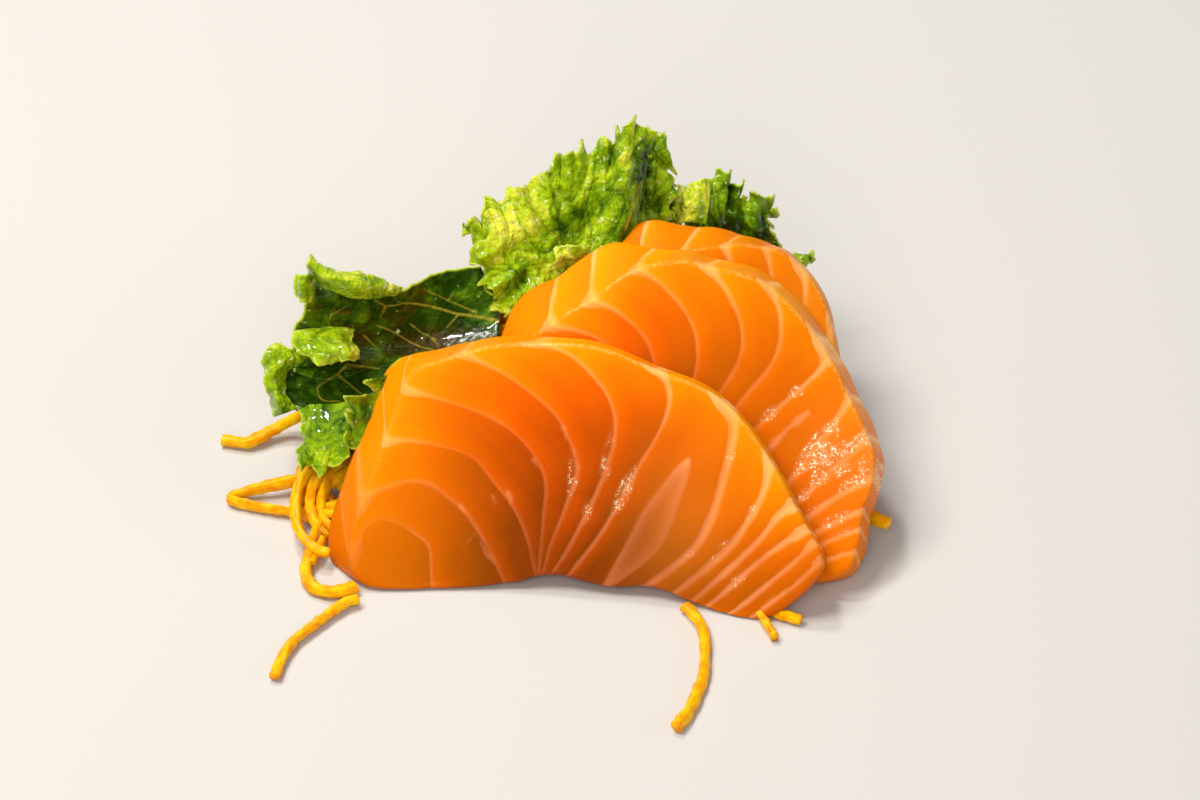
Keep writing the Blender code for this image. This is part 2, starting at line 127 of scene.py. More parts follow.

# The slices. "layer" counts them from the front, and "outline" is the cut face, across and up,
# clockwise from its lower left. "spread" is how far the back reaches past the face: least, most,
# the direction of the most in degrees, and how wide that side is. "slant" is how far the fat lines
# lean along the rim for each millimetre of depth, in the same way. "tone" is the brightness of the
# flesh at a place and at a distance in from the rim. "amber" is where across it starts to turn
# golden and where it is fully so. "fat" is how strong the lines are on the left and on the right,
# and where across the one becomes the other. "veil" is the left and right edge of a pale mark.
# "lines" are the fat lines from the rim inwards, each with its width in mid-run. "marks" are loose
# streaks of fat, with their half widths at both ends. "pale" is a paler patch: place and half sizes.
# "dew" lists the patches with beads of moisture, with their painted glints and sheen: place, half sizes and
# strength.
SLICES = {
    "slice_front": {
        "layer": 0,
        "outline": [(-36.4, 7), (-34.9, 16.4), (-29.5, 32), (-26, 41), (-20.4, 43.8), (-8.7, 46.7),
                    (6.7, 46.4), (18, 42.5), (30.4, 36.9), (38.5, 27.6), (44.9, 16), (49, 8), (46.6, 3),
                    (40, -2.6), (34.7, -3.9), (26.9, -1.1), (18.7, 2.4), (10.4, 2.6), (0.7, 4.7),
                    (-7, 3.2), (-16, 2), (-27, 1.6), (-33.5, 2.8)],
        "spread": (0.6, 4.3, 165, 50),
        "slant": (0.3, 1.8, 170, 42),
        # Tone: painted light near the rim, where light shines through the thin edge, and towards the top;
        # painted shade low in the middle; lighter towards the left end and the right end
        "tone": lambda across, up, inward: (
            0.13 + 0.50 * np.exp(-inward / 9.0) * np.clip((up + 2.0) / 28.0, 0.12, 1.0)
            + 0.22 * smooth_step(16.0, 46.0, up - 0.25 * (across + 10.0))
            + 0.19 * smooth_step(-12.0, -34.0, across)
            + 0.36 * smooth_step(14.0, 40.0, across) * np.clip((up + 2.0) / 18.0, 0.25, 1.0)
            - 0.32 * np.exp(-((across - 7.0) / 22.0) ** 2 - ((up - 4.0) / 11.0) ** 2)),
        "amber": (-2, -34),
        "fat": (0.13, 0.6, -6, 26),
        "veil": ([(25.4, 26.4), (22.9, 24.4), (20, 20.8), (16.7, 16.4), (14.2, 11.6), (9.8, 3.6)],
                 [(24.6, 26.6), (25.2, 25), (24.6, 22), (23.2, 18), (20.8, 11.4), (17.8, 7.6),
                  (11.2, 2.6)]),
        "lines": [
            (0.45, [(-35.1, 9.5), (-33.5, 13.5), (-30.6, 14.7), (-27.7, 14), (-25.1, 12.4), (-22.2, 9.8),
                    (-21.8, 5)]),
            (0.8, [(-34.4, 16.4), (-32, 19.4), (-25.8, 21.5), (-21.8, 20.9), (-18.4, 18.5), (-15.1, 15.3),
                   (-11.2, 9.2), (-8.9, 4.2)]),
            (0.5, [(-30.9, 28.4), (-26.7, 28.9), (-21.1, 28.2), (-14.4, 26), (-10.4, 21.4), (-7.3, 17.6),
                   (-4.7, 12.4), (-3.1, 6.4)]),
            (0.45, [(-27.3, 38.2), (-21.8, 36.9), (-16, 35.1), (-11.1, 33.2), (-6.9, 30.5), (-3.2, 26.4),
                    (-1.1, 21.5), (-1.5, 14.9), (-2.2, 6.4)]),
            (0.5, [(-17.5, 45.3), (-10.9, 42.3), (-6.4, 39.6), (0.2, 34.2), (3.3, 28.9), (4.5, 23.6),
                   (2.7, 17.6), (-0.2, 10.2), (-1.3, 6.2)]),
            (0.5, [(-3.8, 47.1), (1.8, 45.3), (6, 42.3), (10.4, 36.6), (11.4, 30), (8.5, 20.6),
                   (3.7, 10.9), (0.9, 6.2)]),
            (0.55, [(18, 42.7), (20.8, 39.6), (21.1, 35), (19, 30), (14.9, 23.1), (9.3, 13), (3.1, 4.7)]),
            (1.4, [(31.1, 36), (32.7, 32.7), (32.6, 29.1), (30.6, 21), (28.4, 14.4), (25, 9), (17.5, 2.9)]),
            (1.1, [(39.5, 26.4), (38.4, 20.5), (35.7, 15.1), (31.6, 9.5), (22.6, 1.8)]),
            (0.9, [(43.5, 17.6), (40.9, 15.6), (38, 11.9), (34.4, 8.2), (26.6, 1.1)]),
            (0.8, [(44.9, 12.5), (41.6, 10.5), (37.4, 7.4), (33.4, 3.8), (29.4, 0.2)]),
            (0.7, [(47.3, 10.9), (44.1, 7.5), (39.9, 4), (34, -1)]),
            (0.7, [(48.7, 8), (44.4, 3.6), (39.9, 0.2), (36.2, -3)]),
        ],
        "marks": [
            (0.1, 0.35, [(-16.4, 17.2), (-14.2, 14.6), (-13.1, 11.5), (-11.4, 8.9), (-10.1, 7)]),
            (0.25, 0.05, [(-13.4, 12.6), (-14.6, 11.2), (-15.9, 9.7)]),
            (0.7, 0.3, [(-7.6, 19.6), (-7, 17.4)]),
            (0.35, 0.1, [(-10.4, 19), (-10, 17.8)]),
            (0.5, 0.2, [(-3, 25.6), (-2.2, 24.4)]),
            (0.5, 0.2, [(2.4, 31.4), (2.9, 29.6)]),
        ],
        "pale": (23, 15, 9, 14),
        "dew_and_glints": [(3.9, 23.5, 2.4, 5.5, 1), (10, 26, 2.6, 7, 1), (13.6, 19.2, 3.4, 6.5, 1.1),
                (6.5, 15.8, 2.4, 3.4, 0.9), (25.6, 22.7, 0.9, 4, 3), (33.2, 25.7, 1.8, 3.6, 0.9),
                (30.4, 10, 3.4, 3.8, 1), (36.3, 15.8, 2, 2.6, 0.9), (26, 8, 2, 2, 0.8),
                (34, 3, 3, 3.4, 0.8), (42, 9, 3, 3, 0.6)],
    },
    "slice_middle": {
        "layer": 1,
        "outline": [(-14, 12), (-13.5, 25), (-9.5, 39), (-2.5, 48.9), (7.4, 55.2), (14.9, 60.4),
                    (23.6, 62), (28.5, 61), (38, 58.4), (45.5, 52), (51.2, 43.6), (54.2, 37.5),
                    (57.2, 31), (58.8, 25.5), (58.2, 20.5), (56.6, 16), (55.4, 9), (52.6, 4.8),
                    (44.5, 3.2), (36, 5.5), (24, 7.5), (8, 8), (-6, 7)],
        "spread": (1.6, 6.7, 126, 20),
        "slant": (0.3, 0.95, 132, 40),
        # Tone: painted light near the rim, where light shines through the thin edge, and towards the top;
        # lighter low down and darker just above the front slice's edge
        "tone": lambda across, up, inward: (
            0.29 + 0.45 * np.exp(-inward / 8.0) * np.clip((up - 8.0) / 24.0, 0.35, 1.0)
            + 0.14 * smooth_step(40.0, 60.0, up) + 0.16 * smooth_step(25.0, 5.0, up)
            - 0.16 * np.exp(-((across - 25.0) / 12.0) ** 2 - ((up - 40.0) / 9.0) ** 2)),
        "amber": (-20, -40),
        "fat": (0.26, 0.54, 32, 50),
        "veil": None,
        "lines": [
            (0.45, [(-0.5, 49.8), (4.4, 48.9), (8.9, 47.1), (12, 43), (12.5, 34), (10, 20)]),
            (0.5, [(6.7, 54.2), (10.2, 53.3), (13.5, 51.1), (16.4, 48.2), (18, 45.3), (18.7, 41),
                   (18, 32), (14, 20)]),
            (0.5, [(14.5, 60.4), (18.4, 58.5), (21.6, 55.6), (24.2, 52.4), (25.8, 49.1), (26.4, 45.3),
                   (25.3, 39), (18, 20)]),
            (0.55, [(27.8, 61.1), (30.9, 57.5), (32.9, 54), (34.4, 49.8), (34.4, 45.3), (32.5, 40.9),
                    (28.3, 34.7), (19, 20)]),
            (0.6, [(38.7, 58.2), (40.9, 54.2), (41.6, 51), (41.3, 46.5), (39.3, 42.2), (33.8, 35.6),
                   (22, 20)]),
            (0.6, [(48.9, 46.4), (49.6, 43.3), (46.6, 39.9), (41.6, 35.6), (35.3, 29.8), (24, 18.5)]),
            (1, [(54.4, 41.3), (53.8, 36.5), (50.6, 31.6), (46.9, 26.6), (39.8, 18.7), (26, 10)]),
            (0.8, [(57.4, 30.5), (55.6, 28), (49.7, 23), (42.7, 16.6), (30, 8.5)]),
            (0.8, [(59.8, 24.2), (57.4, 22.1), (50.6, 18.4), (42.6, 12.7), (32, 7.5)]),
            (0.75, [(59.8, 17.9), (57, 16.8), (52, 14.7), (43.5, 10.4), (35, 6.7)]),
            (0.7, [(58.7, 14), (55, 12.8), (50.2, 11), (43.5, 8), (37, 5.6)]),
            (0.7, [(57.6, 9.3), (54, 8.9), (49.8, 7.6), (44.4, 5.6), (39, 3)]),
        ],
        "marks": [
            (0.45, 0.75, [(46.4, 34), (42.7, 30.9), (38.1, 26)]),
            (0.8, 1, [(49.6, 45.2), (50.2, 43.6)]),
        ],
        "pale": (53, 27, 9, 12),
        "dew_and_glints": [(51.5, 26.3, 7, 5.5, 2.4), (57, 25, 3, 4.5, 2.4), (44.8, 37.9, 1.9, 1.5, 1.3),
                (39.6, 33.8, 2.3, 2.3, 1), (44.8, 31.8, 1.6, 1.8, 1.8), (45.7, 19.2, 2.4, 2, 1),
                (50, 15, 8, 4, 0.95)],
    },
    "slice_back": {
        "layer": 2,
        "outline": [(2, 36), (5.5, 46.5), (12.9, 56.4), (16.6, 59.8), (21, 62.8), (27.5, 64.3),
                    (34.2, 65), (41.5, 64), (46, 60.8), (49.2, 56.2), (51.4, 50), (52.2, 40), (49, 30),
                    (40, 25), (24, 24), (9, 27)],
        "spread": (0.6, 7.6, 119, 23),
        "slant": (0.2, 0.9, 119, 30),
        # Tone: painted light near the rim, where light shines through the thin edge
        "tone": lambda across, up, inward: 0.37 + 0.35 * np.exp(-inward / 8.0),
        "amber": (-20, -40),
        "fat": (0.3, 0.4, 20, 50),
        "veil": None,
        "lines": [
            (0.5, [(4, 46), (10, 44), (16, 38), (20, 28), (20, 22)]),
            (0.5, [(14.9, 60.3), (17, 56), (22, 46), (25, 34), (24, 22)]),
            (0.55, [(22.9, 63.6), (25.6, 60), (29, 50), (31, 36), (27, 22)]),
            (0.6, [(30.9, 66), (32, 63.4), (32.9, 60), (34.5, 52), (35, 38), (30, 22)]),
            (0.45, [(38.5, 66), (39.5, 62.7), (40.1, 58.8), (40.3, 52), (38.5, 38), (33, 22)]),
            (0.6, [(45.2, 61.4), (46.3, 57.8), (45.8, 51.9), (43, 40), (36, 22)]),
            (0.6, [(51.3, 51.3), (50.2, 46.5), (46, 36), (39, 22)]),
            (0.6, [(52.5, 38), (49, 34), (42, 22)]),
        ],
        "marks": [],
        "pale": (46, 52, 5, 8),
        "dew_and_glints": [(26.8, 64.2, 4, 2, 0.75)],
    },
}

# Lettuce: each leaf is a few curled panels. A panel is rows of points across, up and out, from its
# hidden side to its free edge. "free" names its free sides: the first or last row, or the start or
# end of every row. "tone" runs from a leaf's dark inside, 0, to its bright frills, 1: the dark inside
# is painted shade, and the bright frills are the leaf's paler colour and painted light. "frill",
# "tooth" and "blister" are the heights of its waves, of the teeth of its edge and of its blisters.
LETTUCE_THICK = 0.45
LETTUCE_STEP = 0.36
FRILL_REACH = 6.0
FRILL_RATE = 1.15
TOOTH_REACH = 1.6
TOOTH_SPACING = 4.2
BLISTER_STRETCH = 0.8
BLISTER_WIDTHS = (8.0, 3.6, 1.9)
BLISTER_SHARES = (0.85, 0.4, 0.28)
BLISTER_WARP = 2.0
BLISTER_WARP_SIZE = 9.0
BLISTER_MIDDLE = 0.8
CREASE = 0.3
RIM_CALM = 0.6
MARGIN_GLOW = 0.22
MARGIN_WIDTH = 2.0
LETTUCE = {
    "lettuce_left": {
        "hollow": {"free": "last start", "tone": -0.06, "frill": 0.1, "tooth": 0.2, "blister": 0.14,
            "rows": [
                [(-47.1, 41.6, -25), (-42.2, 40, -25), (-37.2, 40.7, -24.5), (-31.6, 42.2, -25),
                 (-25, 43.2, -27), (-18.4, 44.7, -29), (-9.6, 47.9, -30.5)],
                [(-47.4, 48.5, -29), (-42.2, 47.9, -30.5), (-37.2, 47.2, -32), (-30.9, 47.2, -33),
                 (-24.7, 47.2, -34), (-17.8, 47.9, -34.5), (-9.6, 49.7, -34)],
                [(-45.3, 52.6, -28.5), (-41.3, 53.2, -30), (-35.9, 52.2, -32), (-30.3, 51.9, -33.5),
                 (-24.7, 52.2, -35), (-17.8, 53.2, -36), (-9.6, 52.9, -36)],
                [(-44.6, 58.9, -27.5), (-41, 57.9, -28), (-35.9, 56.5, -29.5), (-30.3, 55.9, -31.5),
                 (-27.5, 56.5, -32.5), (-24.7, 58, -34), (-20.9, 59.8, -35.5), (-17.2, 60.5, -36.5),
                 (-13.1, 61, -37)]]},
        "foot": {"free": "", "tone": -0.1, "frill": 0, "tooth": 0, "blister": 0.2,
            "rows": [
                [(-10, 39.1, -27), (-21.9, 33.8, -23), (-34.7, 27.8, -19), (-42.8, 25.6, -19.5)],
                [(-10, 41.9, -29.5), (-21.9, 39.1, -26.5), (-34.7, 35, -23), (-44.4, 31.9, -23)],
                [(-10, 46, -32), (-21.9, 43.9, -30), (-34.7, 41.9, -28), (-46.9, 39.1, -26.5)]]},
        "roll": {"free": "last start", "tone": 0.72, "frill": 0.15, "tooth": 0.25, "blister": 0.16,
            "rows": [
                [(-44.4, 59.4, -25), (-42.2, 57.3, -24), (-39.7, 56.2, -24), (-36.9, 55.2, -24.5),
                 (-34.1, 54.9, -25.5), (-31.2, 55.2, -27.5), (-28.1, 55.9, -31)],
                [(-44.6, 61.5, -22.5), (-41.9, 59.4, -21.5), (-38.8, 58, -21), (-36.3, 57.3, -21.5),
                 (-33.7, 56.8, -23), (-30.9, 56.3, -26.5), (-28, 56.1, -31)],
                [(-43.9, 63, -24), (-42.2, 61.4, -23.5), (-39.7, 60, -24), (-36.3, 59.8, -25),
                 (-33.1, 59.3, -26.5), (-30, 58, -29), (-27.3, 56.9, -31.5)]]},
        "curl": {"free": "last start end", "tone": 0.72, "frill": 0.2, "tooth": 0.3, "blister": 0.14,
            "rows": [
                [(-43.1, 54.7, -26.5), (-42.8, 56.9, -26), (-43.3, 59.1, -26)],
                [(-45.3, 54.1, -23.5), (-45.3, 56.9, -22.5), (-45, 59.3, -23)],
                [(-46.6, 55, -25.5), (-47.1, 57.6, -25.5), (-46.1, 59.2, -25.5)]]},
        "flap": {"free": "last start end", "tone": 0.78, "frill": 0.15, "tooth": 0.3, "blister": 0.14,
            "rows": [
                [(-35.9, 49.3, -27), (-38.4, 49.7, -27), (-41.6, 49.6, -26.5), (-44.7, 49.3, -26),
                 (-47.2, 48.8, -25.5)],
                [(-36.2, 47.2, -23), (-38.8, 47.2, -22.5), (-41.9, 46.9, -22), (-44.7, 46.9, -22),
                 (-47.3, 46.9, -23)],
                [(-35.1, 45.2, -21), (-37.8, 45.7, -19.5), (-40.6, 45.2, -19.5), (-43.1, 45, -20),
                 (-46.6, 45.7, -21.5)],
                [(-34.9, 43.7, -22), (-37.2, 43.4, -19.5), (-40, 43.1, -21), (-42.5, 42.3, -19),
                 (-43.7, 44.2, -20.5), (-46.5, 45, -22)]]},
        "frill": {"free": "last end", "tone": 0.6, "frill": 0.22, "tooth": 0.4, "blister": 0.12,
            "rows": [
                [(-46.5, 34.7, -23), (-48.3, 37.2, -23), (-48.6, 39.4, -23.5), (-48.1, 41.6, -24),
                 (-45.6, 43.3, -25), (-43.9, 45.4, -26)],
                [(-48.8, 33.9, -21), (-50, 37.1, -20.5), (-50.5, 39.4, -21.5), (-50.3, 41.9, -21),
                 (-49.2, 43.9, -22.5), (-47.3, 45.7, -24)],
                [(-50.5, 33.3, -22.5), (-51.2, 35.8, -23.5), (-52.1, 38.9, -21.5), (-52.5, 41.6, -23),
                 (-52.5, 44.3, -22.5), (-51.6, 46.1, -24), (-49.8, 46.8, -24.5)]]},
        "inside": {"free": "", "tone": -0.1, "frill": 0.1, "tooth": 0, "blister": 0.16,
            "rows": [
                [(-45.6, 33.9, -22.5), (-42.8, 34.2, -22.5), (-39.7, 33.9, -22), (-35.3, 32.8, -20)],
                [(-49.6, 37.2, -25), (-44.7, 37.8, -26), (-39.7, 38.2, -25.5), (-34.7, 37.2, -24),
                 (-30.9, 36.6, -22)],
                [(-49.7, 42.2, -25), (-43.5, 42.5, -26), (-38.4, 42.5, -26), (-33.4, 42.5, -25.5),
                 (-27.2, 42.9, -24)]]},
        "lobe": {"free": "last end", "tone": 0.42, "frill": 0.3, "tooth": 0.4, "blister": 0.2,
            "rows": [
                [(-35.6, 36.4, -19), (-38.4, 35.8, -20), (-41.3, 35.6, -20.5), (-44.1, 35.5, -21.5),
                 (-46, 34.6, -22)],
                [(-36.3, 32.5, -16), (-39.1, 32.4, -17.5), (-41.6, 31.9, -18), (-43.8, 31.9, -18.5),
                 (-45.5, 31.9, -20)],
                [(-36.6, 28.8, -15), (-39.1, 28.9, -16), (-41.6, 28.4, -16.5), (-43.8, 28.1, -17),
                 (-45.2, 28.9, -19)],
                [(-36.6, 25.8, -14.5), (-38.6, 24.4, -14), (-40.6, 23.9, -16), (-42, 22.4, -14.5),
                 (-43.6, 24.5, -17), (-45.3, 23.7, -15.5), (-46.5, 26.6, -18), (-46.2, 27.8, -18.5)]]},
        "ruffle": {"free": "last start end", "tone": 0.3, "frill": 0.15, "tooth": 0.25, "blister": 0.12,
            "rows": [
                [(-24.7, 43.8, -21), (-26.5, 41.3, -19.5), (-28.4, 39.1, -18.5), (-30, 36.6, -17.5),
                 (-31.6, 33.5, -16.5), (-33.1, 30.3, -16), (-34.4, 26.9, -16)],
                [(-26.7, 43.3, -20), (-29.1, 41.1, -18.5), (-31.4, 38.9, -17), (-32.8, 36.4, -17),
                 (-34.5, 34.1, -15.5), (-34.7, 31, -15.5), (-35.9, 27.5, -15)],
                [(-27.2, 44, -19), (-28.9, 42.5, -18.5), (-30, 40.3, -18), (-34, 39.7, -15),
                 (-32.1, 37.4, -17.5), (-37.6, 37, -14), (-36.3, 34.7, -16.5), (-37.6, 34, -14),
                 (-36.6, 31.4, -16), (-37.8, 29.9, -14.5), (-37.2, 27.7, -15)]]},
    },
    "lettuce_back": {
        "foot": {"free": "last start end", "tone": 0.15, "frill": 0.9, "tooth": 1, "blister": 0.7,
            "rows": [
                [(-3, 47.6, -40), (4, 48.2, -45.5), (10, 49.6, -49), (16, 50.4, -51), (20, 51, -52)],
                [(-11, 56, -30.5), (-2, 61, -35), (8, 66, -40), (17, 68, -43.5), (24.5, 69, -45)],
                [(-12, 66, -32.5), (-3, 72, -36.5), (7, 78, -40), (15.5, 82, -42.5), (21, 79, -44.5)]]},
        "left lobe": {"free": "last start", "tone": 0.85, "frill": 1.4, "tooth": 2, "blister": 0.75,
            "rows": [
                [(-8.7, 51.3, -26), (-6.5, 52.4, -27), (-3.8, 54.5, -28), (-0.5, 57.3, -30),
                 (2.7, 60.4, -32)],
                [(-12.2, 57.3, -27), (-9.3, 58.5, -27), (-5.6, 60.9, -29), (-2, 63.6, -31),
                 (1.6, 65.8, -33)],
                [(-15.1, 63.3, -29), (-12, 64.5, -28), (-8.4, 66.9, -29), (-3.8, 70, -31),
                 (0.2, 71.8, -33)],
                [(-16.5, 67.6, -31), (-13.6, 70.5, -31), (-10.7, 73.5, -32), (-5.6, 75.3, -33),
                 (-1.1, 77.1, -34)]]},
        "middle lobe": {"free": "last", "tone": 0.72, "frill": 1.5, "tooth": 2.3, "blister": 0.8,
            "rows": [
                [(-1.1, 56.4, -33), (1.6, 59.1, -34), (5.3, 61.5, -34), (8.9, 63.6, -35),
                 (12.9, 65.5, -36)],
                [(-1.1, 63.6, -34), (2, 65.5, -34), (5.6, 67.6, -36), (9.3, 70, -37), (13.5, 71.8, -38)],
                [(-1.1, 71.8, -36), (1.6, 73.6, -35), (5.3, 75.5, -36), (9.3, 77.8, -37), (14, 79.1, -38)],
                [(-0.5, 78.5, -37), (2, 81.8, -37), (5.6, 82.4, -38), (8.9, 84, -38), (14.7, 85.1, -39)]]},
        "tall lobe": {"free": "last", "tone": 0.5, "frill": 1.3, "tooth": 2.3, "blister": 0.75,
            "rows": [
                [(7.1, 60.4, -34), (10, 62.5, -33), (12.9, 64.7, -32), (15.5, 66.9, -34),
                 (17.6, 68.7, -38)],
                [(8.5, 70, -36), (10.7, 71.6, -34), (13.3, 73.6, -32), (15.5, 74.5, -34),
                 (17.1, 74.5, -38)],
                [(8.9, 79.1, -38), (11.1, 80, -36), (13.6, 81.5, -33), (16.2, 81.8, -35), (18, 80.9, -39)],
                [(9.6, 84, -38), (11.8, 85.8, -37), (14.7, 87.8, -35), (17.3, 87.5, -36),
                 (19.1, 85.1, -39)]]},
        "right lobe": {"free": "last end", "tone": 0.55, "frill": 1, "tooth": 2, "blister": 0.5,
            "rows": [
                [(16.5, 66.2, -42), (18.7, 68, -41), (20.9, 69.1, -40), (23.5, 69.8, -41)],
                [(16.9, 74.5, -43), (18.9, 75.3, -41), (21.3, 75.6, -40), (23.5, 74.5, -42)],
                [(16.5, 80.9, -43), (18.5, 81.5, -42), (20.5, 80.4, -41), (22.2, 78.2, -42)],
                [(17.3, 85.8, -42), (19.1, 85.6, -41), (20.9, 83.5, -41), (22, 80, -42)]]},
        "flap": {"free": "last start end", "tone": 0.9, "frill": 0.6, "tooth": 0.6, "blister": 0.4,
            "rows": [
                [(0.9, 60, -31), (3.8, 60.7, -31), (7.5, 62.5, -32)],
                [(0.5, 62.4, -28), (3.8, 63.1, -28), (7.5, 63.6, -30)],
                [(0.9, 64.4, -28), (3.6, 65.3, -27), (6.9, 64.2, -29)]]},
    },
    "lettuce_right": {
        "foot": {"free": "last start end", "tone": 0.15, "frill": 0.8, "tooth": 0.9, "blister": 0.6,
            "rows": [
                [(28, 46, -60), (33, 45, -60), (38, 44.5, -59)],
                [(24, 60, -51), (34, 59, -51.5), (43, 55.5, -51.5)],
                [(24.5, 70, -46.5), (33, 70, -47.5), (43, 65, -48.5)]]},
        "blade": {"free": "last start", "tone": 1.15, "frill": 0.4, "tooth": 0.5, "blister": 0.35,
            "rows": [
                [(22, 68.7, -43), (25.3, 69.1, -41), (28.5, 68.7, -42)],
                [(22.7, 72.7, -44), (25.8, 73.5, -41), (29.1, 73.1, -42)],
                [(23.1, 75.8, -44), (26, 76.7, -42), (29.3, 77.3, -43)]]},
        "leaf": {"free": "last end", "tone": 0.22, "frill": 1.2, "tooth": 1.9, "blister": 0.6,
            "rows": [
                [(27.1, 67.6, -45), (30.7, 67.3, -45), (34.4, 66.9, -46), (38, 65.8, -46),
                 (41.6, 64.4, -47)],
                [(28.2, 72.7, -46), (31.1, 72.4, -44), (34, 71.5, -46), (37.5, 70.7, -44),
                 (40.9, 68.7, -46)],
                [(29.1, 76.9, -47), (31.3, 79.1, -46), (33.3, 77.5, -46), (35.5, 73.5, -47),
                 (38.9, 73.8, -46), (42, 71.6, -47)]]},
        "sprig": {"free": "last start end", "tone": 0.5, "frill": 0.5, "tooth": 0.8, "blister": 0.3,
            "rows": [
                [(42.7, 62.9, -48), (44.5, 61.5, -48), (46.4, 60, -48)],
                [(44.7, 63.5, -47), (46, 62.7, -47), (47.5, 61.6, -47)],
                [(46.4, 64.2, -48), (48, 63.8, -47), (48.9, 62.7, -47)]]},
    },
}

# Veins of the leaves, across and up, with their width at the start
LETTUCE_VEINS = [
    (0.55, [(-8.7, 50.5), (-12.9, 51.5), (-17.3, 52.2), (-22, 53.5), (-26.5, 54.2), (-30.2, 53.6)]),
    (0.3, [(-30.4, 53.5), (-32.5, 54.9)]),
    (0.3, [(-30.4, 53.5), (-31.5, 51.6)]),
    (0.25, [(-13.8, 52.4), (-19.3, 54.8), (-23.5, 56.7)]),
    (0.3, [(-17.1, 52), (-19.3, 49.5)]),
    (0.3, [(-31.9, 50), (-29.6, 49.1), (-25, 46.4), (-20.9, 45.1)]),
    (0.3, [(-34.4, 48.2), (-31.9, 45.5)]),
    (0.3, [(-37.5, 42.7), (-34.7, 42.4), (-31.3, 42)]),
    (0.35, [(-37.5, 42.7), (-39.1, 40.9), (-42.2, 39.1), (-42.7, 37.8), (-41.6, 36.2), (-38.5, 36)]),
    (0.3, [(-38.7, 40.7), (-36, 38.5), (-34.1, 36.9)]),
    (0.3, [(-40.4, 52), (-37.3, 53.8)]),
    (0.25, [(-26, 50.4), (-23.4, 48.4), (-21, 47.4)]),
    (0.25, [(-22, 47.6), (-20.6, 46.2)]),
    (0.25, [(-16, 47), (-13.8, 46)]),
    (0.25, [(-19, 54.6), (-17.6, 56.6)]),
    (0.4, [(7.1, 61.5), (3.1, 64), (-0.2, 67.3), (-3.5, 70.9), (-5.6, 74.2)]),
    (0.4, [(13.6, 67.6), (14.7, 71.8), (16.2, 76.4)]),
    (0.3, [(-7, 69), (-9.4, 68.6), (-12, 68.9)]),
]

# Bronze patches in the hollow of a leaf: across, up, and their half sizes
LETTUCE_BRONZE = [(-22, 46.5, 12, 4), (-35, 47.5, 4, 2.5), (-35, 43, 4, 1.5)]

# Painted highlights, and painted shade in the pockets and folds of the crumpled leaves: across, up, half
# sizes, and what they add to the tone
LETTUCE_TONES = [(-9.2, 70.6, 2.4, 1.2, 0.35), (-8.1, 67.2, 2.4, 1.3, 0.3), (-2.8, 75.6, 1.6, 1.4, 0.3),
                 (-5, 71.7, 1.8, 1.2, 0.2), (14.8, 86.2, 1.2, 2.6, 0.45), (13.7, 80.6, 0.9, 3.4, 0.4),
                 (9.8, 78.1, 1.2, 1.4, 0.3), (8.7, 68.7, 1.5, 1.5, 0.5), (4.8, 74.8, 2.3, 1.2, 0.35),
                 (5.6, 81.7, 1.2, 1.7, 0.3), (17.9, 88.1, 1.7, 1.1, 0.2), (20.1, 85.6, 1.2, 0.6, 0.2),
                 (-5.8, 63.1, 1.8, 1.7, 0.25), (-9.2, 56.2, 1.8, 1.7, 0.3), (-0.3, 60, 1.5, 2, 0.35),
                 (-15.6, 69.2, 1.2, 1.2, 0.2), (5.4, 70.6, 2.6, 1.5, -0.65), (2.3, 67.8, 1.1, 1.7, -0.5),
                 (16.9, 77.8, 0.9, 5.6, -0.75), (-5.3, 58.6, 1.4, 2.6, -0.6),
                 (14.6, 68.9, 1.1, 2.3, -0.35), (9.8, 82, 1.4, 0.8, -0.35),
                 (-13.4, 67.2, 1.7, 1.1, -0.25), (-1.1, 66.7, 1.1, 1.7, -0.15),
                 (29.5, 74.5, 1.6, 1.6, 0.3), (36, 72.8, 1.6, 1.2, 0.35), (32.4, 69, 2.2, 1.4, -0.3),
                 (38.6, 67.6, 2, 1.4, -0.25), (-39, 58.6, 2.6, 0.8, 0.25), (-31, 57.2, 3, 1, 0.25),
                 (-48.5, 45.2, 1.6, 1.6, 0.25), (-34.6, 30.6, 1.2, 3, 0.25), (-39.5, 25.8, 2.6, 1, 0.25),
                 (-42, 34, 1.8, 2.2, -0.35), (4, 62.5, 2.4, 1.2, 0.3), (0.5, 69, 1.2, 2.2, -0.4),
                 (8.2, 74.2, 1, 1.8, -0.45), (-7.6, 61, 1, 1.4, -0.4), (-12.6, 61.6, 1, 2, -0.35),
                 (20, 73, 1, 3, -0.3), (27.2, 71, 0.9, 2.4, -0.3)]

# Carrot shreds: long strips with rounded corners and a rough cut. A shred's centre line keeps
# SHRED_REACH widths and a gap to the other pieces. Those in known places may touch them.
SHRED_WIDTH = 2.05
SHRED_FLATNESS = 0.12
SHRED_SIDES = 12
SHRED_ROUND = 6.0
SHRED_ROUGH = 0.09
SHRED_TIP = 0.3
SHRED_LOWEST = 0.05
SHRED_REST = 1.1
SHRED_REACH = 0.62
SHRED_GAP = 0.25
KNOWN_GAP = -0.15
SHRED_SEED = 5

# The core of the bed, a dome: the shares of each ray that it tries are first, last and how many
HEAP_MIDDLE = (1.0, 20.0)
HEAP_HALF_WIDTH = 44.0
HEAP_HALF_DEPTH = 29.0
HEAP_HEIGHT = 20.0
HEAP_SWELL = 1.8
HEAP_RINGS = 14
HEAP_ROUND = 96
HEAP_SHARES = (0.12, 0.93, 28)
HEAP_CLEARANCE = 2.2

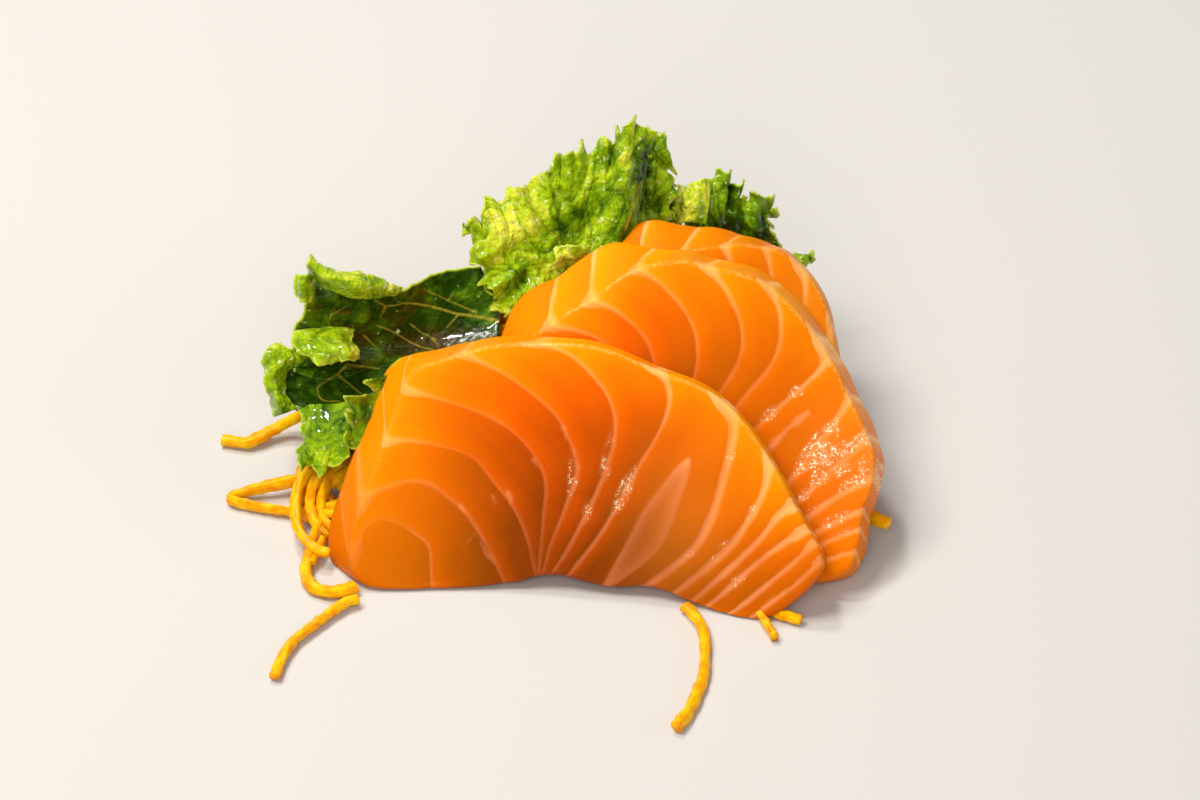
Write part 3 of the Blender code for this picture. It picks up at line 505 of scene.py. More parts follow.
# The shreds dropped on it: the map of heights that they lie on; how many are tried, and the steps,
# lengths and starts of their lines; how many steps on either side smooth their height, how high
# they lie and raise the next, in widths; the fewest steps, and how far out, up and left they may go
MAP_CORNER = (-60.0, -25.0)
MAP_SIZE = (120.0, 90.0)
HEAP_CELL = 0.5
LOOSE_SHREDS = 400
LOOSE_STEPS = 44
LOOSE_LENGTH = (26.0, 50.0)
LOOSE_STARTS = (0.1, 1.05)
LOOSE_STIFFNESS = 4
LIES_AT = 0.42
RAISES_BY = 0.4
LOOSE_FEWEST = 8
LOOSE_REACH = 1.2
LOOSE_HIGHEST = HEAP_HEIGHT + 2.0
LOOSE_LEFT = -42.5

# Shreds that poke out of the bed: points in x, y and z
BED_SHREDS = [
    [(-60.4, 15.7, 1.2), (-56, 14.9, 1.2), (-52, 16.9, 1.9), (-49, 18.6, 2.8), (-45, 19.2, 4.4),
     (-37, 20, 6)],
    [(-36, 2, 5.2), (-41, -1, 4.4), (-46.4, 1.2, 3), (-52, 0.6, 2), (-57.4, -0.6, 1.2),
     (-58.5, -1.4, 1.2), (-57.4, -2.6, 1.2), (-52, -4.4, 1.2), (-47, -5.6, 1.4), (-42.9, -6.4, 2),
     (-38, -5, 2.6)],
    [(-38, 4, 6.2), (-44.4, 0.4, 5.4), (-46.4, -5.6, 4.6), (-45.8, -13.6, 3.6), (-42.4, -18.6, 3),
     (-37.9, -20, 2.6)],
    [(-41.8, 0.6, 6.4), (-43.6, -3.4, 4.4), (-43.4, -8.4, 2.6), (-40.4, -14, 1.6), (-38.4, -17.4, 1.2)],
    [(-43.4, -20.6, 1.2), (-41.8, -16, 2.4), (-40.4, -11.4, 4), (-38, -7.6, 5.4)],
    [(-42.2, -12.6, 4.6), (-43.5, -16.8, 2.6), (-44.4, -22, 1.2), (-43.4, -26.6, 1.2),
     (-40.6, -28.6, 1.2), (-37.6, -28.4, 1.2), (-35.3, -27, 1.2)],
    [(-36, 7, 7), (-41.6, 3.6, 7), (-45.6, -1.6, 1.6), (-44.4, -6.6, 1.2), (-40, -9.6, 1.2)],
    [(-36, 5, 5), (-39.6, 1, 5.6), (-41.6, -4, 3.4), (-41, -9, 1.4), (-37, -12, 1.2)],
    [(-46.4, 3.4, 1.2), (-43, 1.4, 1.6), (-40.4, -3, 1.6), (-39, -8, 1.2), (-40, -15, 1.2)],
    [(-37, 9, 6.6), (-42, 6.4, 5), (-45.4, 2.6, 4), (-44.6, -3, 2.2), (-41, -7, 2.4), (-37, -9, 3)],
    [(32, 10, 5), (43, 3, 4.6), (52, -5, 4.4), (58, -10.5, 4.2), (61.3, -12.4, 3.9)],
]

# Shreds that lie on their own on the table: points in x and y
TABLE_SHREDS = {
    "carrot_shred_left": [(-34.8, -30.8), (-36.3, -31.4), (-37.8, -32.6), (-39.8, -34.6), (-42.7, -38.2),
                          (-46.4, -42.9), (-48.2, -48), (-49.3, -52.7)],
    "carrot_shred_front": [(24.3, -32.6), (25.2, -33.9), (26, -35.6), (26.9, -38), (27.6, -41.8),
                           (27.8, -47.7), (27.3, -52.7), (26, -58), (24.5, -62.8), (22.5, -67.1)],
    "carrot_shred_right": [(37.7, -34.9), (38.5, -37), (39.4, -38.8), (40.2, -41.4)],
    "carrot_stub_right": [(40, -33.8), (41.6, -35), (43.2, -35.7), (45, -36.6)],
}

# The camera: what it looks at, its lens and sensor, and the width that it sees there, in metres
AIM = (8.9, 3.5, 20.0)
LENS = 350.0
SENSOR_WIDTH = 36.0
VIEW_WIDTH = 0.218

# The studio, in metres. Lights: name, place, side, watts, colour, and whether they give a highlight
FLOOR_SIDE = 3.0
FLOOR_LEVEL = -0.00002
LIGHTS = [("key", (-0.4, 0.05, 0.8), 0.4, 6.7, "FFF8EE", False),
          ("front", (-0.1, -0.8, 0.55), 0.6, 4.2, "FFFCF8", False),
          ("side", (0.8, -0.1, 0.3), 0.4, 1.2, "FFFFFF", False),
          ("glint", (-0.2, 0.45, 0.75), 0.12, 3.0, "FFFFFF", True)]


def srgb(hex_colour):
    """Linear red, green, blue and alpha of an sRGB hex colour."""
    parts = [int(hex_colour[i:i + 2], 16) / 255 for i in (0, 2, 4)]
    linear = [c / 12.92 if c <= 0.04045 else ((c + 0.055) / 1.055) ** 2.4 for c in parts]
    return (*linear, 1.0)


def add_node(tree, kind, inputs=None, stops=None, **settings):
    """Adds a shader node with its settings. An input is a value, an output, or a node for its first output.

    Stops are the places and sRGB hex colours of a colour ramp.
    """
    made = tree.nodes.new("ShaderNode" + kind)
    for key, value in settings.items():
        setattr(made, key, value)
    for key, value in (inputs or {}).items():
        if isinstance(value, bpy.types.Node):
            value = next(output for output in value.outputs if output.enabled)
        if isinstance(value, bpy.types.NodeSocket):
            tree.links.new(value, made.inputs[key])
        else:
            made.inputs[key].default_value = value
    if stops:
        stops = [(place, srgb(colour)) for place, colour in stops]
        ramp = made.color_ramp.elements
        ramp[0].position, ramp[0].color = stops[0]
        ramp[1].position, ramp[1].color = stops[-1]
        for place, colour in stops[1:-1]:
            ramp.new(place).color = colour
    return made


def new_material(name):
    """An empty material and its node tree."""
    made = bpy.data.materials.new(name)
    made.use_nodes = True
    made.node_tree.nodes.clear()
    return made, made.node_tree


def slope_point(across, up, out):
    """World millimetres of a point on the slope, squeezed softly so that none is under the table."""
    y = FOOT_Y + up * math.sin(LEAN) - out * math.cos(LEAN)
    z = up * math.cos(LEAN) + out * math.sin(LEAN)
    z = 0.5 * (z + np.sqrt(z * z + TABLE_SOFTNESS ** 2))
    return np.stack(np.broadcast_arrays(across, y, z), axis=-1)


def pile_face(across, up):
    """How far the front face of the pile stands out: it rises, rounds over and wraps back."""
    wrap = (across - PILE_WRAP_MIDDLE) ** 2 * (up - PILE_WRAP_START) / PILE_HEIGHT
    return (PILE_TURN * across - PILE_SETBACK + PILE_RISE * up
            - PILE_CROWN * up ** 2 - PILE_WRAP * wrap)


def path_lengths(path):
    """Length along a path up to each of its points."""
    return np.concatenate([[0.0], np.cumsum(np.linalg.norm(np.diff(path, axis=0), axis=1))])


def spline(points, count, closed=False):
    """Evenly spaced points on the smooth curve (Catmull-Rom) through the given ones."""
    knots = np.array(points, dtype=float)
    if closed:
        knots = np.vstack([knots[-1:], knots, knots[:2]])
    else:
        knots = np.vstack([2 * knots[0] - knots[1], knots, 2 * knots[-1] - knots[-2]])
    spans = len(knots) - 3
    place = np.linspace(0.0, spans, SPLINE_STEPS * spans + 1)
    span = np.minimum(place.astype(int), spans - 1)
    t = (place - span)[:, None]
    a, b, c, d = (knots[span + step] for step in range(4))
    curve = 0.5 * (2 * b + (c - a) * t + (2 * a - 5 * b + 4 * c - d) * t ** 2
                   + (3 * b - a - 3 * c + d) * t ** 3)
    length = path_lengths(curve)
    wanted = np.linspace(0.0, length[-1], count, endpoint=not closed)
    return np.stack([np.interp(wanted, length, axis) for axis in curve.T], axis=1)


def smooth_step(low, high, value):
    """0 below low, 1 above high, and an S-shaped rise between them."""
    t = np.clip((value - low) / (high - low), 0.0, 1.0)
    return t * t * (3.0 - 2.0 * t)


def soft_spot(points, across, up, half_width, half_height):
    """A bell-shaped hill, 1 high, at a place on the slope."""
    return np.exp(-((points[:, 0] - across) / half_width) ** 2 - ((points[:, 1] - up) / half_height) ** 2)


def ripples(points, wavelength, seed, waves=20):
    """Soft random heights, about -1 to 1: the scaled sum of many plane waves in random directions."""
    rng = np.random.default_rng(seed)
    heading = rng.normal(size=(waves, points.shape[-1]))
    heading /= np.linalg.norm(heading, axis=1)[:, None]
    heading *= (2 * math.pi / wavelength) * rng.uniform(0.7, 1.5, waves)[:, None]
    phase = rng.uniform(0.0, 2 * math.pi, waves)
    return np.sin(points @ heading.T + phase).sum(axis=-1) * math.sqrt(1.0 / waves)


def grid_faces(rows, columns, wrapped=False):
    """Corners of every quad of a grid whose points are counted row by row."""
    row = np.arange(rows - 1)[:, None]
    column = np.arange(columns if wrapped else columns - 1)[None, :]
    after = (column + 1) % columns
    a = row * columns + column
    b = row * columns + after
    return np.stack([a, b, b + columns, a + columns], axis=-1).reshape(-1, 4)


def fan(pole, start, count, flipped=False):
    """Triangles that close a ring of points, counted from its start, on a pole."""
    around = np.arange(count)
    sides = [start + around, start + (around + 1) % count]
    return np.stack([np.full(count, pole), *(sides[::-1] if flipped else sides)], axis=1)


def join_parts(parts):
    """Points and faces of several parts as one, and a list of what else each part has."""
    starts = np.cumsum([0] + [len(points) for points, _, _ in parts])
    faces = [group + start for (_, groups, _), start in zip(parts, starts) for group in groups]
    return np.vstack([points for points, _, _ in parts]), faces, [extra for _, _, extra in parts]


def add_piece(name, points, faces, finish, nodes, values=None, uv=None):
    """A mesh object from points in millimetres. It rides with the serving and stands for CAD nodes."""
    mesh = bpy.data.meshes.new(name)
    faces = [face for group in faces for face in group.tolist()]
    mesh.from_pydata((np.asarray(points) * MM).tolist(), [], faces)
    mesh.materials.append(finish)
    mesh.shade_smooth()
    for key, value in (values or {}).items():
        data = mesh.attributes.new(key, "FLOAT", "POINT").data
        data.foreach_set("value", np.ascontiguousarray(value, dtype=np.float32).ravel())
    if uv is not None:
        corners = np.empty(len(mesh.loops), dtype=np.int32)
        mesh.loops.foreach_get("vertex_index", corners)
        layer = mesh.uv_layers.new(name="UVMap")
        layer.data.foreach_set("uv", np.asarray(uv, dtype=np.float32)[corners].ravel())
    placed = bpy.data.objects.new(name, mesh)
    bpy.context.scene.collection.objects.link(placed)
    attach(placed, "root")
    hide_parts(*nodes)
    return placed


def outward_angle(outline):
    """Direction in degrees in which a clockwise outline faces, at each of its points."""
    along = np.roll(outline, -SPREAD_SMOOTHING, axis=0) - np.roll(outline, SPREAD_SMOOTHING, axis=0)
    return np.degrees(np.arctan2(along[:, 0], -along[:, 1]))


def most_on_one_side(angle, least, most, direction, width):
    """A value at each outward angle: the least, and up to the most in one direction, as a bell curve."""
    turn = (angle - direction + 180.0) % 360.0 - 180.0
    return least + (most - least) * np.exp(-(turn / width) ** 2)


def nearest_stretch(points, path):
    """For each point and each stretch of a path: the nearest place, as a share of the stretch.

    Also the point's offset from the start of the stretch, its distance, and the stretch itself.
    """
    run = np.diff(path, axis=0)
    offset = points[:, None, :] - path[None, :-1, :]
    share = np.clip((offset * run).sum(axis=-1) / (run ** 2).sum(axis=-1), 0.0, 1.0)
    return share, offset, np.linalg.norm(offset - share[:, :, None] * run, axis=-1), run


def line_offsets(points, line, reach=40.0):
    """Distance of each point from a line, positive on its left, and its place along it, 0 to 1.

    Both ends of the line are carried straight on by its reach, so that every point has a side.
    """
    path = spline(line, LINE_POINTS)
    first = path[0] + (path[0] - path[1]) / np.linalg.norm(path[0] - path[1]) * reach
    last = path[-1] + (path[-1] - path[-2]) / np.linalg.norm(path[-1] - path[-2]) * reach
    share, offset, gap, run = nearest_stretch(points, np.vstack([first, path, last]))
    nearest = gap.argmin(axis=1)
    row = np.arange(len(points))
    picked = offset[row, nearest]
    side = np.sign(run[nearest, 0] * picked[:, 1] - run[nearest, 1] * picked[:, 0])
    place = np.clip((nearest + share[row, nearest] - 1.0) / (len(path) - 1), 0.0, 1.0)
    return gap[row, nearest] * side, place


def flake_fields(points, lines):
    """Place among the fat lines: whole numbers on the lines, even shares between two of them.

    Also the distance between those two lines, the width of the nearest line, and how far along it
    the point lies.
    """
    offsets, places = zip(*[line_offsets(points, line) for _, line in lines])
    offsets, places = np.array(offsets), np.array(places)
    passed = (offsets > 0.0).sum(axis=0)
    before = np.clip(passed - 1, 0, len(lines) - 1)
    after = np.clip(passed, 0, len(lines) - 1)
    row = np.arange(len(points))
    near, far = offsets[before, row], -offsets[after, row]
    gap = np.where(before == after, OUTER_GAP, np.maximum(near + far, NARROWEST_GAP))
    layer = before + near / gap
    layer = np.where(passed == 0, near / OUTER_GAP, layer)
    layer = np.clip(layer, -OUTER_SHARE, len(lines) - 1.0 + OUTER_SHARE)
    nearest = np.where(near < far, before, after)
    nearest = np.where(passed == 0, 0, nearest)
    along = places[nearest, row]
    middle_width = np.array([width for width, _ in lines])[nearest]
    return layer, gap, middle_width * np.interp(along, *LINE_TAPER), along


def mark_distance(points, marks):
    """Distance from each point to the edge of the nearest streak, negative inside.

    A streak is its half width at its start and at its end, and its line.
    """
    best = np.full(len(points), FAR)
    for start, end, line in marks:
        share, _, gap, run = nearest_stretch(points, spline(line, MARK_POINTS))
        place = (np.arange(len(run)) + share) / len(run)
        best = np.minimum(best, (gap - (start + (end - start) * place)).min(axis=1))
    return best


def ridge(off_line, half_width, sunk):
    """Height of the flesh at a distance from the nearest fat line: a bell-shaped groove along it."""
    return 1.0 - np.exp(-(off_line / half_width) ** 2) - sunk


def slice_sections():
    """The rows of a slice's skin: their shares of the outline, their depths, and shares of the spread.

    They run from the middle of the face over its rim, a quarter ellipse, down the wall, and over
    the other rim to the middle of the back.
    """
    turn = np.linspace(0.0, math.pi / 2, ROUND_ROWS + 1)[1:]
    face_share = np.linspace(0.0, ROUND_START, FACE_ROWS + 1)[1:]
    back_share = np.linspace(ROUND_START, 0.0, BACK_ROWS + 1)[:-1]
    rim_share = ROUND_START + (1.0 - ROUND_START) * np.sin(turn)
    rim_depth = SLICE_EDGE_ROUND * (1.0 - np.cos(turn))
    wall = np.linspace(0.0, 1.0, WALL_ROWS + 1)[1:]
    wall_depth = SLICE_EDGE_ROUND + (SLICE_THICK - 2 * SLICE_EDGE_ROUND) * wall
    share = np.concatenate([face_share, rim_share, np.ones(WALL_ROWS), rim_share[-2::-1], back_share])
    depth = np.concatenate([0 * face_share, rim_depth, wall_depth, SLICE_THICK - rim_depth[-2::-1],
                            SLICE_THICK + 0 * back_share])
    spread = np.concatenate([0 * face_share, 0 * rim_share, wall, 1.0 + 0 * rim_share[1:],
                             1.0 + 0 * back_share])
    return share[:, None], depth[:, None], spread[:, None]


def build_slice(name, spec, finish):
    """A slice as a grid: around its outline, and from the middle of its face over the rim to its back.

    The back's outline is the face's, moved out by more on one side. Fat lines are worked out on
    the cut face and carried through the slice, leaning along the rim, so that they join up with
    the stripes of its side. The flesh between them stands up a little.
    """
    face = spline(spec["outline"], AROUND, closed=True)
    outward = outward_angle(face)
    away = most_on_one_side(outward, *spec["spread"])
    back = face + np.stack([np.cos(np.radians(outward)), np.sin(np.radians(outward))], axis=1) * away[:, None]
    face_middle, back_middle = face.mean(axis=0), back.mean(axis=0)
    share, depth, spread = slice_sections()
    outline = face[None] + (back - face)[None] * spread[:, :, None]
    middle = face_middle + (back_middle - face_middle) * spread[:, :, None]
    across, up = np.moveaxis(middle + (outline - middle) * share[:, :, None], -1, 0)

    slant = most_on_one_side(outward, *spec["slant"])
    step = np.linalg.norm(face[1] - face[0])
    index = (np.arange(AROUND)[None] - slant[None] * depth / step) % AROUND
    looped = np.vstack([face, face[:1]])
    shifted = np.stack([np.interp(index, np.arange(AROUND + 1), axis) for axis in looped.T], axis=-1)
    flesh = face_middle + (shifted - face_middle) * share[:, :, None]
    flat = flesh.reshape(-1, 2)
    layer, gap, width, along = flake_fields(flat, spec["lines"])

    off_line = (np.abs(layer - np.round(layer)) * gap).reshape(across.shape)
    bulge = RIM_BULGE * ridge(off_line, RIM_GROOVE, RIM_SUNK) * smooth_step(RIM_START, 1.0, share)
    facing = np.radians(outward)[None]
    across = across + bulge * np.cos(facing)
    up = up + bulge * np.sin(facing)
    on_cut = np.abs(depth - SLICE_THICK / 2) > SLICE_THICK / 2 - CUT_SKIN
    fade = on_cut * (1.0 - smooth_step(RELIEF_END, ROUND_START, share))
    relief = FLAKE_RELIEF * ridge(off_line, FLAKE_GROOVE, FLAKE_SUNK)
    relief += CUT_WAVE * ripples(np.stack([across, up], axis=-1), CUT_WAVE_LENGTH, spec["layer"] + 5)
    front = spec["layer"] * (SLICE_THICK + SLICE_GAP)
    side = np.where(depth < SLICE_THICK / 2, 1.0, -1.0)
    points = slope_point(across, up, pile_face(across, up) - front - depth + relief * fade * side)
    poles = [slope_point(centre[0], centre[1], pile_face(*centre) - at)
             for centre, at in ((face_middle, front), (back_middle, front + SLICE_THICK))]
    points = np.vstack([points.reshape(-1, 3), poles])

    values = flesh_values(spec, flat, layer, gap, width, along)
    near_face = np.repeat(1.0 - smooth_step(*FACE_END, depth[:, 0]), AROUND)
    rim = np.linalg.norm(flesh - face_middle, axis=-1) / np.maximum(share, 0.01)
    # Tone of the flesh, with the painted light and shade given for each slice in SLICES
    values["tone"] = spec["tone"](flat[:, 0], flat[:, 1], (rim * (1.0 - share)).ravel())
    wedge = WEDGE * np.exp(-(along / WEDGE_LENGTH) ** 1.5) * near_face
    narrowed = width * (WALL_LINES + (1.0 - WALL_LINES) * near_face)
    values["width"] = np.minimum(narrowed + wedge, WIDEST_LINE * gap)
    values["fat"] += FAT_ON_WALL * (1.0 - near_face) * smooth_step(-20.0, 0.0, flat[:, 0])
    values["fat"] *= 1.0 - FAINT_CORNER * (smooth_step(-22.0, -31.0, flat[:, 0])
                                           * smooth_step(26.0, 12.0, flat[:, 1]))
    # A painted highlight along the rim, at the top of the face and fainter on the left
    rim_highlight = np.exp(-((share - RIM_HIGHLIGHT_AT) / RIM_HIGHLIGHT_WIDTH) ** 2) * (depth < SLICE_THICK / 4)
    rim_highlight = rim_highlight * smooth_step(12.0, 34.0, up) * (0.35 + 0.65 * smooth_step(-27.0, -16.0, across))
    values["rim_highlight"] = rim_highlight.ravel()
    values["veil"] *= near_face
    values = {key: np.concatenate([value, value[:1], value[-1:]]) for key, value in values.items()}

    rows = len(share)
    faces = [grid_faces(rows, AROUND, wrapped=True), fan(rows * AROUND, 0, AROUND, flipped=True),
             fan(rows * AROUND + 1, (rows - 1) * AROUND, AROUND)]
    uv = np.vstack([flat, flat[:1], flat[-1:]]) / UV_SIZE
    return add_piece(name.replace("slice", "salmon"), points, faces, finish, [name], values, uv)


def flesh_values(spec, flat, layer, gap, width, along):
    """What the finish needs at each place of a slice's flesh, as the comment above SLICES says."""
    faint, plain, left, right = spec["fat"]
    fat = faint + (plain - faint) * smooth_step(left, right, flat[:, 0])
    fat += FAT_AT_RIM * np.exp(-(along / FAT_RIM_REACH) ** 1.5) + FAT_AT_FOOT * smooth_step(*FAT_FOOT, along)
    # Patches with beads of moisture, which also carry their painted glints and sheen
    dew_and_glints = np.zeros(len(flat))
    for *place, most in spec["dew_and_glints"]:
        dew_and_glints = np.maximum(dew_and_glints, most * soft_spot(flat, *place))
    veil = np.zeros(len(flat))
    if spec["veil"]:
        past_left, past_right = (line_offsets(flat, line)[0] for line in spec["veil"])
        inside = smooth_step(-0.35, 0.25, past_left) * smooth_step(0.35, -0.45, past_right)
        veil = inside * (VEIL_MIDDLE + VEIL_LEFT * np.exp(-(past_left / 1.3) ** 2)
                         + VEIL_RIGHT * np.exp(-(past_right / 1.7) ** 2))
    right_amber = RIGHT_AMBER * smooth_step(6.0, 34.0, flat[:, 0])
    amber = np.maximum(smooth_step(*spec["amber"], flat[:, 0]), right_amber)
    return {"layer": layer, "gap": gap, "width": width, "fat": fat, "pale": soft_spot(flat, *spec["pale"]),
            "dew_and_glints": dew_and_glints, "mark": mark_distance(flat, spec["marks"]), "veil": veil, "amber": amber}


def salmon_finish():
    """Raw salmon, cut with a wet knife: translucent orange muscle between pale sheets of fat.

    Light soaks in and comes out warmer, the fat stays pale and opaque, and fine beads of moisture
    stand along the fat lines, with painted glints and a painted sheen around them. The flesh is bright
    just past each fat line and deepens towards the next. Its tone holds painted light and shade, and a
    painted highlight runs along the rim.
    """
    made, tree = new_material("raw_salmon")
    layer, gap, width, fat, tone, pale, dew_and_glints, mark, rim_highlight, veil, amber = (
        add_node(tree, "Attribute", attribute_name=name)
        for name in ("layer", "gap", "width", "fat", "tone", "pale", "dew_and_glints", "mark", "rim_highlight", "veil", "amber"))
    place = add_node(tree, "TexCoord").outputs["Object"]
    broad = add_node(tree, "TexNoise", {"Vector": place, "Scale": 70.0, "Detail": 2.0})
    wander = add_node(tree, "TexNoise", {"Vector": place, "Scale": 260.0, "Detail": 3.0})
    fine = add_node(tree, "TexNoise", {"Vector": place, "Scale": 1400.0, "Detail": 2.0})

    # Distance from the nearest fat line in millimetres, feathered by noise
    whole = add_node(tree, "Math", {0: layer}, operation="ROUND")
    offset = add_node(tree, "Math", {0: layer, 1: whole}, operation="SUBTRACT")
    away = add_node(tree, "Math", {0: offset}, operation="ABSOLUTE")
    distance = add_node(tree, "Math", {0: away, 1: gap}, operation="MULTIPLY")
    frayed = add_node(tree, "Math", {0: wander, 1: 0.5, 2: distance}, operation="MULTIPLY_ADD")
    frayed = add_node(tree, "Math", {0: fine, 1: 0.35, 2: frayed}, operation="MULTIPLY_ADD")
    border = add_node(tree, "Math", {0: width, 1: 0.5, 2: 0.425}, operation="MULTIPLY_ADD")
    edge = add_node(tree, "Math", {0: frayed, 1: border}, operation="SUBTRACT")
    feather = add_node(tree, "MapRange", {"Value": offset, "From Min": -0.02, "From Max": 0.02,
                                          "To Min": 0.15, "To Max": 0.75})
    line = add_node(tree, "MapRange", {"Value": edge, "From Min": feather, "From Max": -0.18},
                    interpolation_type="SMOOTHSTEP")

    # Loose streaks of fat, ragged at their edges, and the pale mark of tissue
    ragged = add_node(tree, "Math", {0: wander, 1: 1.8, 2: mark}, operation="MULTIPLY_ADD")
    ragged = add_node(tree, "Math", {0: fine, 1: 0.8, 2: ragged}, operation="MULTIPLY_ADD")
    streak = add_node(tree, "MapRange", {"Value": ragged, "From Min": 1.75, "From Max": 0.75, "To Max": 0.6},
                      interpolation_type="SMOOTHSTEP")
    streak = add_node(tree, "Math", {0: streak, 1: veil}, operation="MAXIMUM")
    broken = add_node(tree, "MapRange", {"Value": broad, "From Min": 0.35, "From Max": 0.6,
                                         "To Min": 0.55, "To Max": 1.1})
    strength = add_node(tree, "Math", {0: fat, 1: broken}, operation="MULTIPLY")
    lined = add_node(tree, "Math", {0: line, 1: strength}, operation="MULTIPLY")
    fatty = add_node(tree, "Math", {0: lined, 1: streak}, operation="MAXIMUM")

    # Tone of the flesh, from deep to bright, with the painted light and shade that each slice's tone holds
    part = add_node(tree, "Math", {0: layer}, operation="FRACT")
    past = add_node(tree, "Math", {0: part, 1: gap}, operation="MULTIPLY")
    lit = add_node(tree, "MapRange", {"Value": past, "From Min": 4.5, "From Max": 0.0, "To Max": 0.17},
                   interpolation_type="SMOOTHSTEP")
    dim = add_node(tree, "MapRange", {"Value": part, "From Min": 0.55, "From Max": 1.0, "To Max": -0.06},
                   interpolation_type="SMOOTHSTEP")
    banded = add_node(tree, "Math", {0: lit, 1: dim}, operation="ADD")
    roomy = add_node(tree, "MapRange", {"Value": gap, "From Min": 1.0, "From Max": 7.0,
                                        "To Min": 0.35, "To Max": 1.0})
    banded = add_node(tree, "Math", {0: banded, 1: roomy}, operation="MULTIPLY")
    cloudy = add_node(tree, "Math", {0: broad, 1: 0.2, 2: -0.14}, operation="MULTIPLY_ADD")
    cloudy = add_node(tree, "Math", {0: fine, 1: 0.08, 2: cloudy}, operation="MULTIPLY_ADD")
    uneven = add_node(tree, "Math", {0: banded, 1: cloudy}, operation="ADD")
    shade = add_node(tree, "Math", {0: tone, 1: uneven}, operation="ADD")
    flesh = add_node(tree, "ValToRGB", {"Fac": shade}, stops=[
        (0.0, "8E3D02"), (0.2, "BC4A01"), (0.45, "E05C01"), (0.7, "F07A01"), (1.0, "F69C02")])
    fat_colour = add_node(tree, "ValToRGB", {"Fac": shade}, stops=[
        (0.0, "D07648"), (0.35, "EA965A"), (0.7, "F7AC62"), (1.0, "FCC070")])
    for amount, share, tint in ((amber, 0.5, "C97A03"), (pale, 0.3, "F08826")):
        tinted = add_node(tree, "Math", {0: amount, 1: share}, operation="MULTIPLY")
        flesh = add_node(tree, "Mix", {"Factor": tinted, "A": flesh, "B": srgb(tint)}, data_type="RGBA")
    colour = add_node(tree, "Mix", {"Factor": fatty, "A": flesh, "B": fat_colour}, data_type="RGBA")

    # A painted highlight along the rim of the cut face, broken up by noise
    highlight_breaks = add_node(tree, "MapRange", {"Value": fine, "From Min": 0.4, "From Max": 0.6})
    rim_highlight_mix = add_node(tree, "Math", {0: rim_highlight, 1: highlight_breaks}, operation="MULTIPLY")
    rim_highlight_mix = add_node(tree, "Math", {0: rim_highlight_mix, 1: 0.55}, operation="MULTIPLY")

    # Beads of moisture, about 0.3 mm wide, on and beside the fat lines of the wettest places, with painted
    # glints on them and a painted sheen over these places
    swirl = add_node(tree, "TexNoise", {"Vector": place, "Scale": 1100.0})
    moved = add_node(tree, "VectorMath", {0: swirl.outputs["Color"], "Scale": 0.0009}, operation="SCALE")
    moved = add_node(tree, "VectorMath", {0: place, 1: moved.outputs["Vector"]}, operation="ADD")
    beads = add_node(tree, "TexVoronoi", {"Vector": moved.outputs["Vector"], "Scale": 2900.0})
    reach = add_node(tree, "Math", {0: dew_and_glints, 1: 1.6, 2: 0.2}, operation="MULTIPLY_ADD")
    beside = add_node(tree, "Math", {0: reach, 1: distance}, operation="SUBTRACT")
    near_line = add_node(tree, "MapRange", {"Value": beside, "From Min": 0.0, "From Max": 0.7})
    patchy = add_node(tree, "MapRange", {"Value": wander, "From Min": 0.36, "From Max": 0.52})
    wet = add_node(tree, "Math", {0: near_line, 1: patchy}, operation="MULTIPLY")
    at_most = add_node(tree, "Math", {0: dew_and_glints, 1: 1.0}, operation="MINIMUM")
    wet = add_node(tree, "Math", {0: wet, 1: at_most}, operation="MULTIPLY")
    uneven_size = add_node(tree, "MapRange", {"Value": beads.outputs["Color"], "From Min": 0.3,
                                              "From Max": 0.75, "To Min": 0.1, "To Max": 0.75})
    size = add_node(tree, "Math", {0: wet, 1: uneven_size}, operation="MULTIPLY")
    inside = add_node(tree, "Math", {0: size, 1: beads}, operation="SUBTRACT")
    bead = add_node(tree, "MapRange", {"Value": inside, "From Min": 0.0, "From Max": 0.14})
    # A pale painted sheen over the wet places
    damp_sheen = add_node(tree, "Math", {0: wet, 1: 0.18}, operation="MULTIPLY")
    brighter = add_node(tree, "MapRange", {"Value": swirl, "From Min": 0.35, "From Max": 0.6,
                                           "To Min": 0.3, "To Max": 0.95})
    glint = add_node(tree, "Math", {0: bead, 1: brighter}, operation="MULTIPLY")
    # Over the colour: the painted highlight of the rim, the painted sheen and the painted glints of the beads
    for amount, tint in ((rim_highlight_mix, "FFD070"), (damp_sheen, "F4AE6A"), (glint, "FFF0CC")):
        colour = add_node(tree, "Mix", {"Factor": amount, "A": colour, "B": srgb(tint)}, data_type="RGBA")

    # Relief: soft muscle grain, sunken fat, and the beads
    grain = add_node(tree, "Math", {0: fine, 1: 0.5, 2: wander}, operation="MULTIPLY_ADD")
    height = add_node(tree, "Math", {0: line, 1: -0.25, 2: grain}, operation="MULTIPLY_ADD")
    height = add_node(tree, "Math", {0: bead, 1: 1.5, 2: height}, operation="MULTIPLY_ADD")
    bump = add_node(tree, "Bump", {"Height": height, "Strength": 0.3, "Distance": 0.0003})
    roughness = add_node(tree, "Math", {0: wander, 1: 0.2, 2: 0.28}, operation="MULTIPLY_ADD")
    shader = add_node(tree, "BsdfPrincipled", {
        "Base Color": colour, "Roughness": roughness, "IOR": 1.4, "Specular IOR Level": 0.12,
        "Subsurface Weight": 0.3, "Subsurface Scale": 0.003, "Subsurface Radius": (1.0, 0.45, 0.12),
        "Coat Weight": 0.04, "Coat Roughness": 0.12, "Normal": bump})
    add_node(tree, "OutputMaterial", {"Surface": shader})
    return made


def sheet_normals(sheet):
    """Unit normals of a grid of points, from its two directions."""
    normal = np.cross(np.gradient(sheet, axis=0), np.gradient(sheet, axis=1))
    return normal / np.maximum(np.linalg.norm(normal, axis=2)[:, :, None], 1e-9)


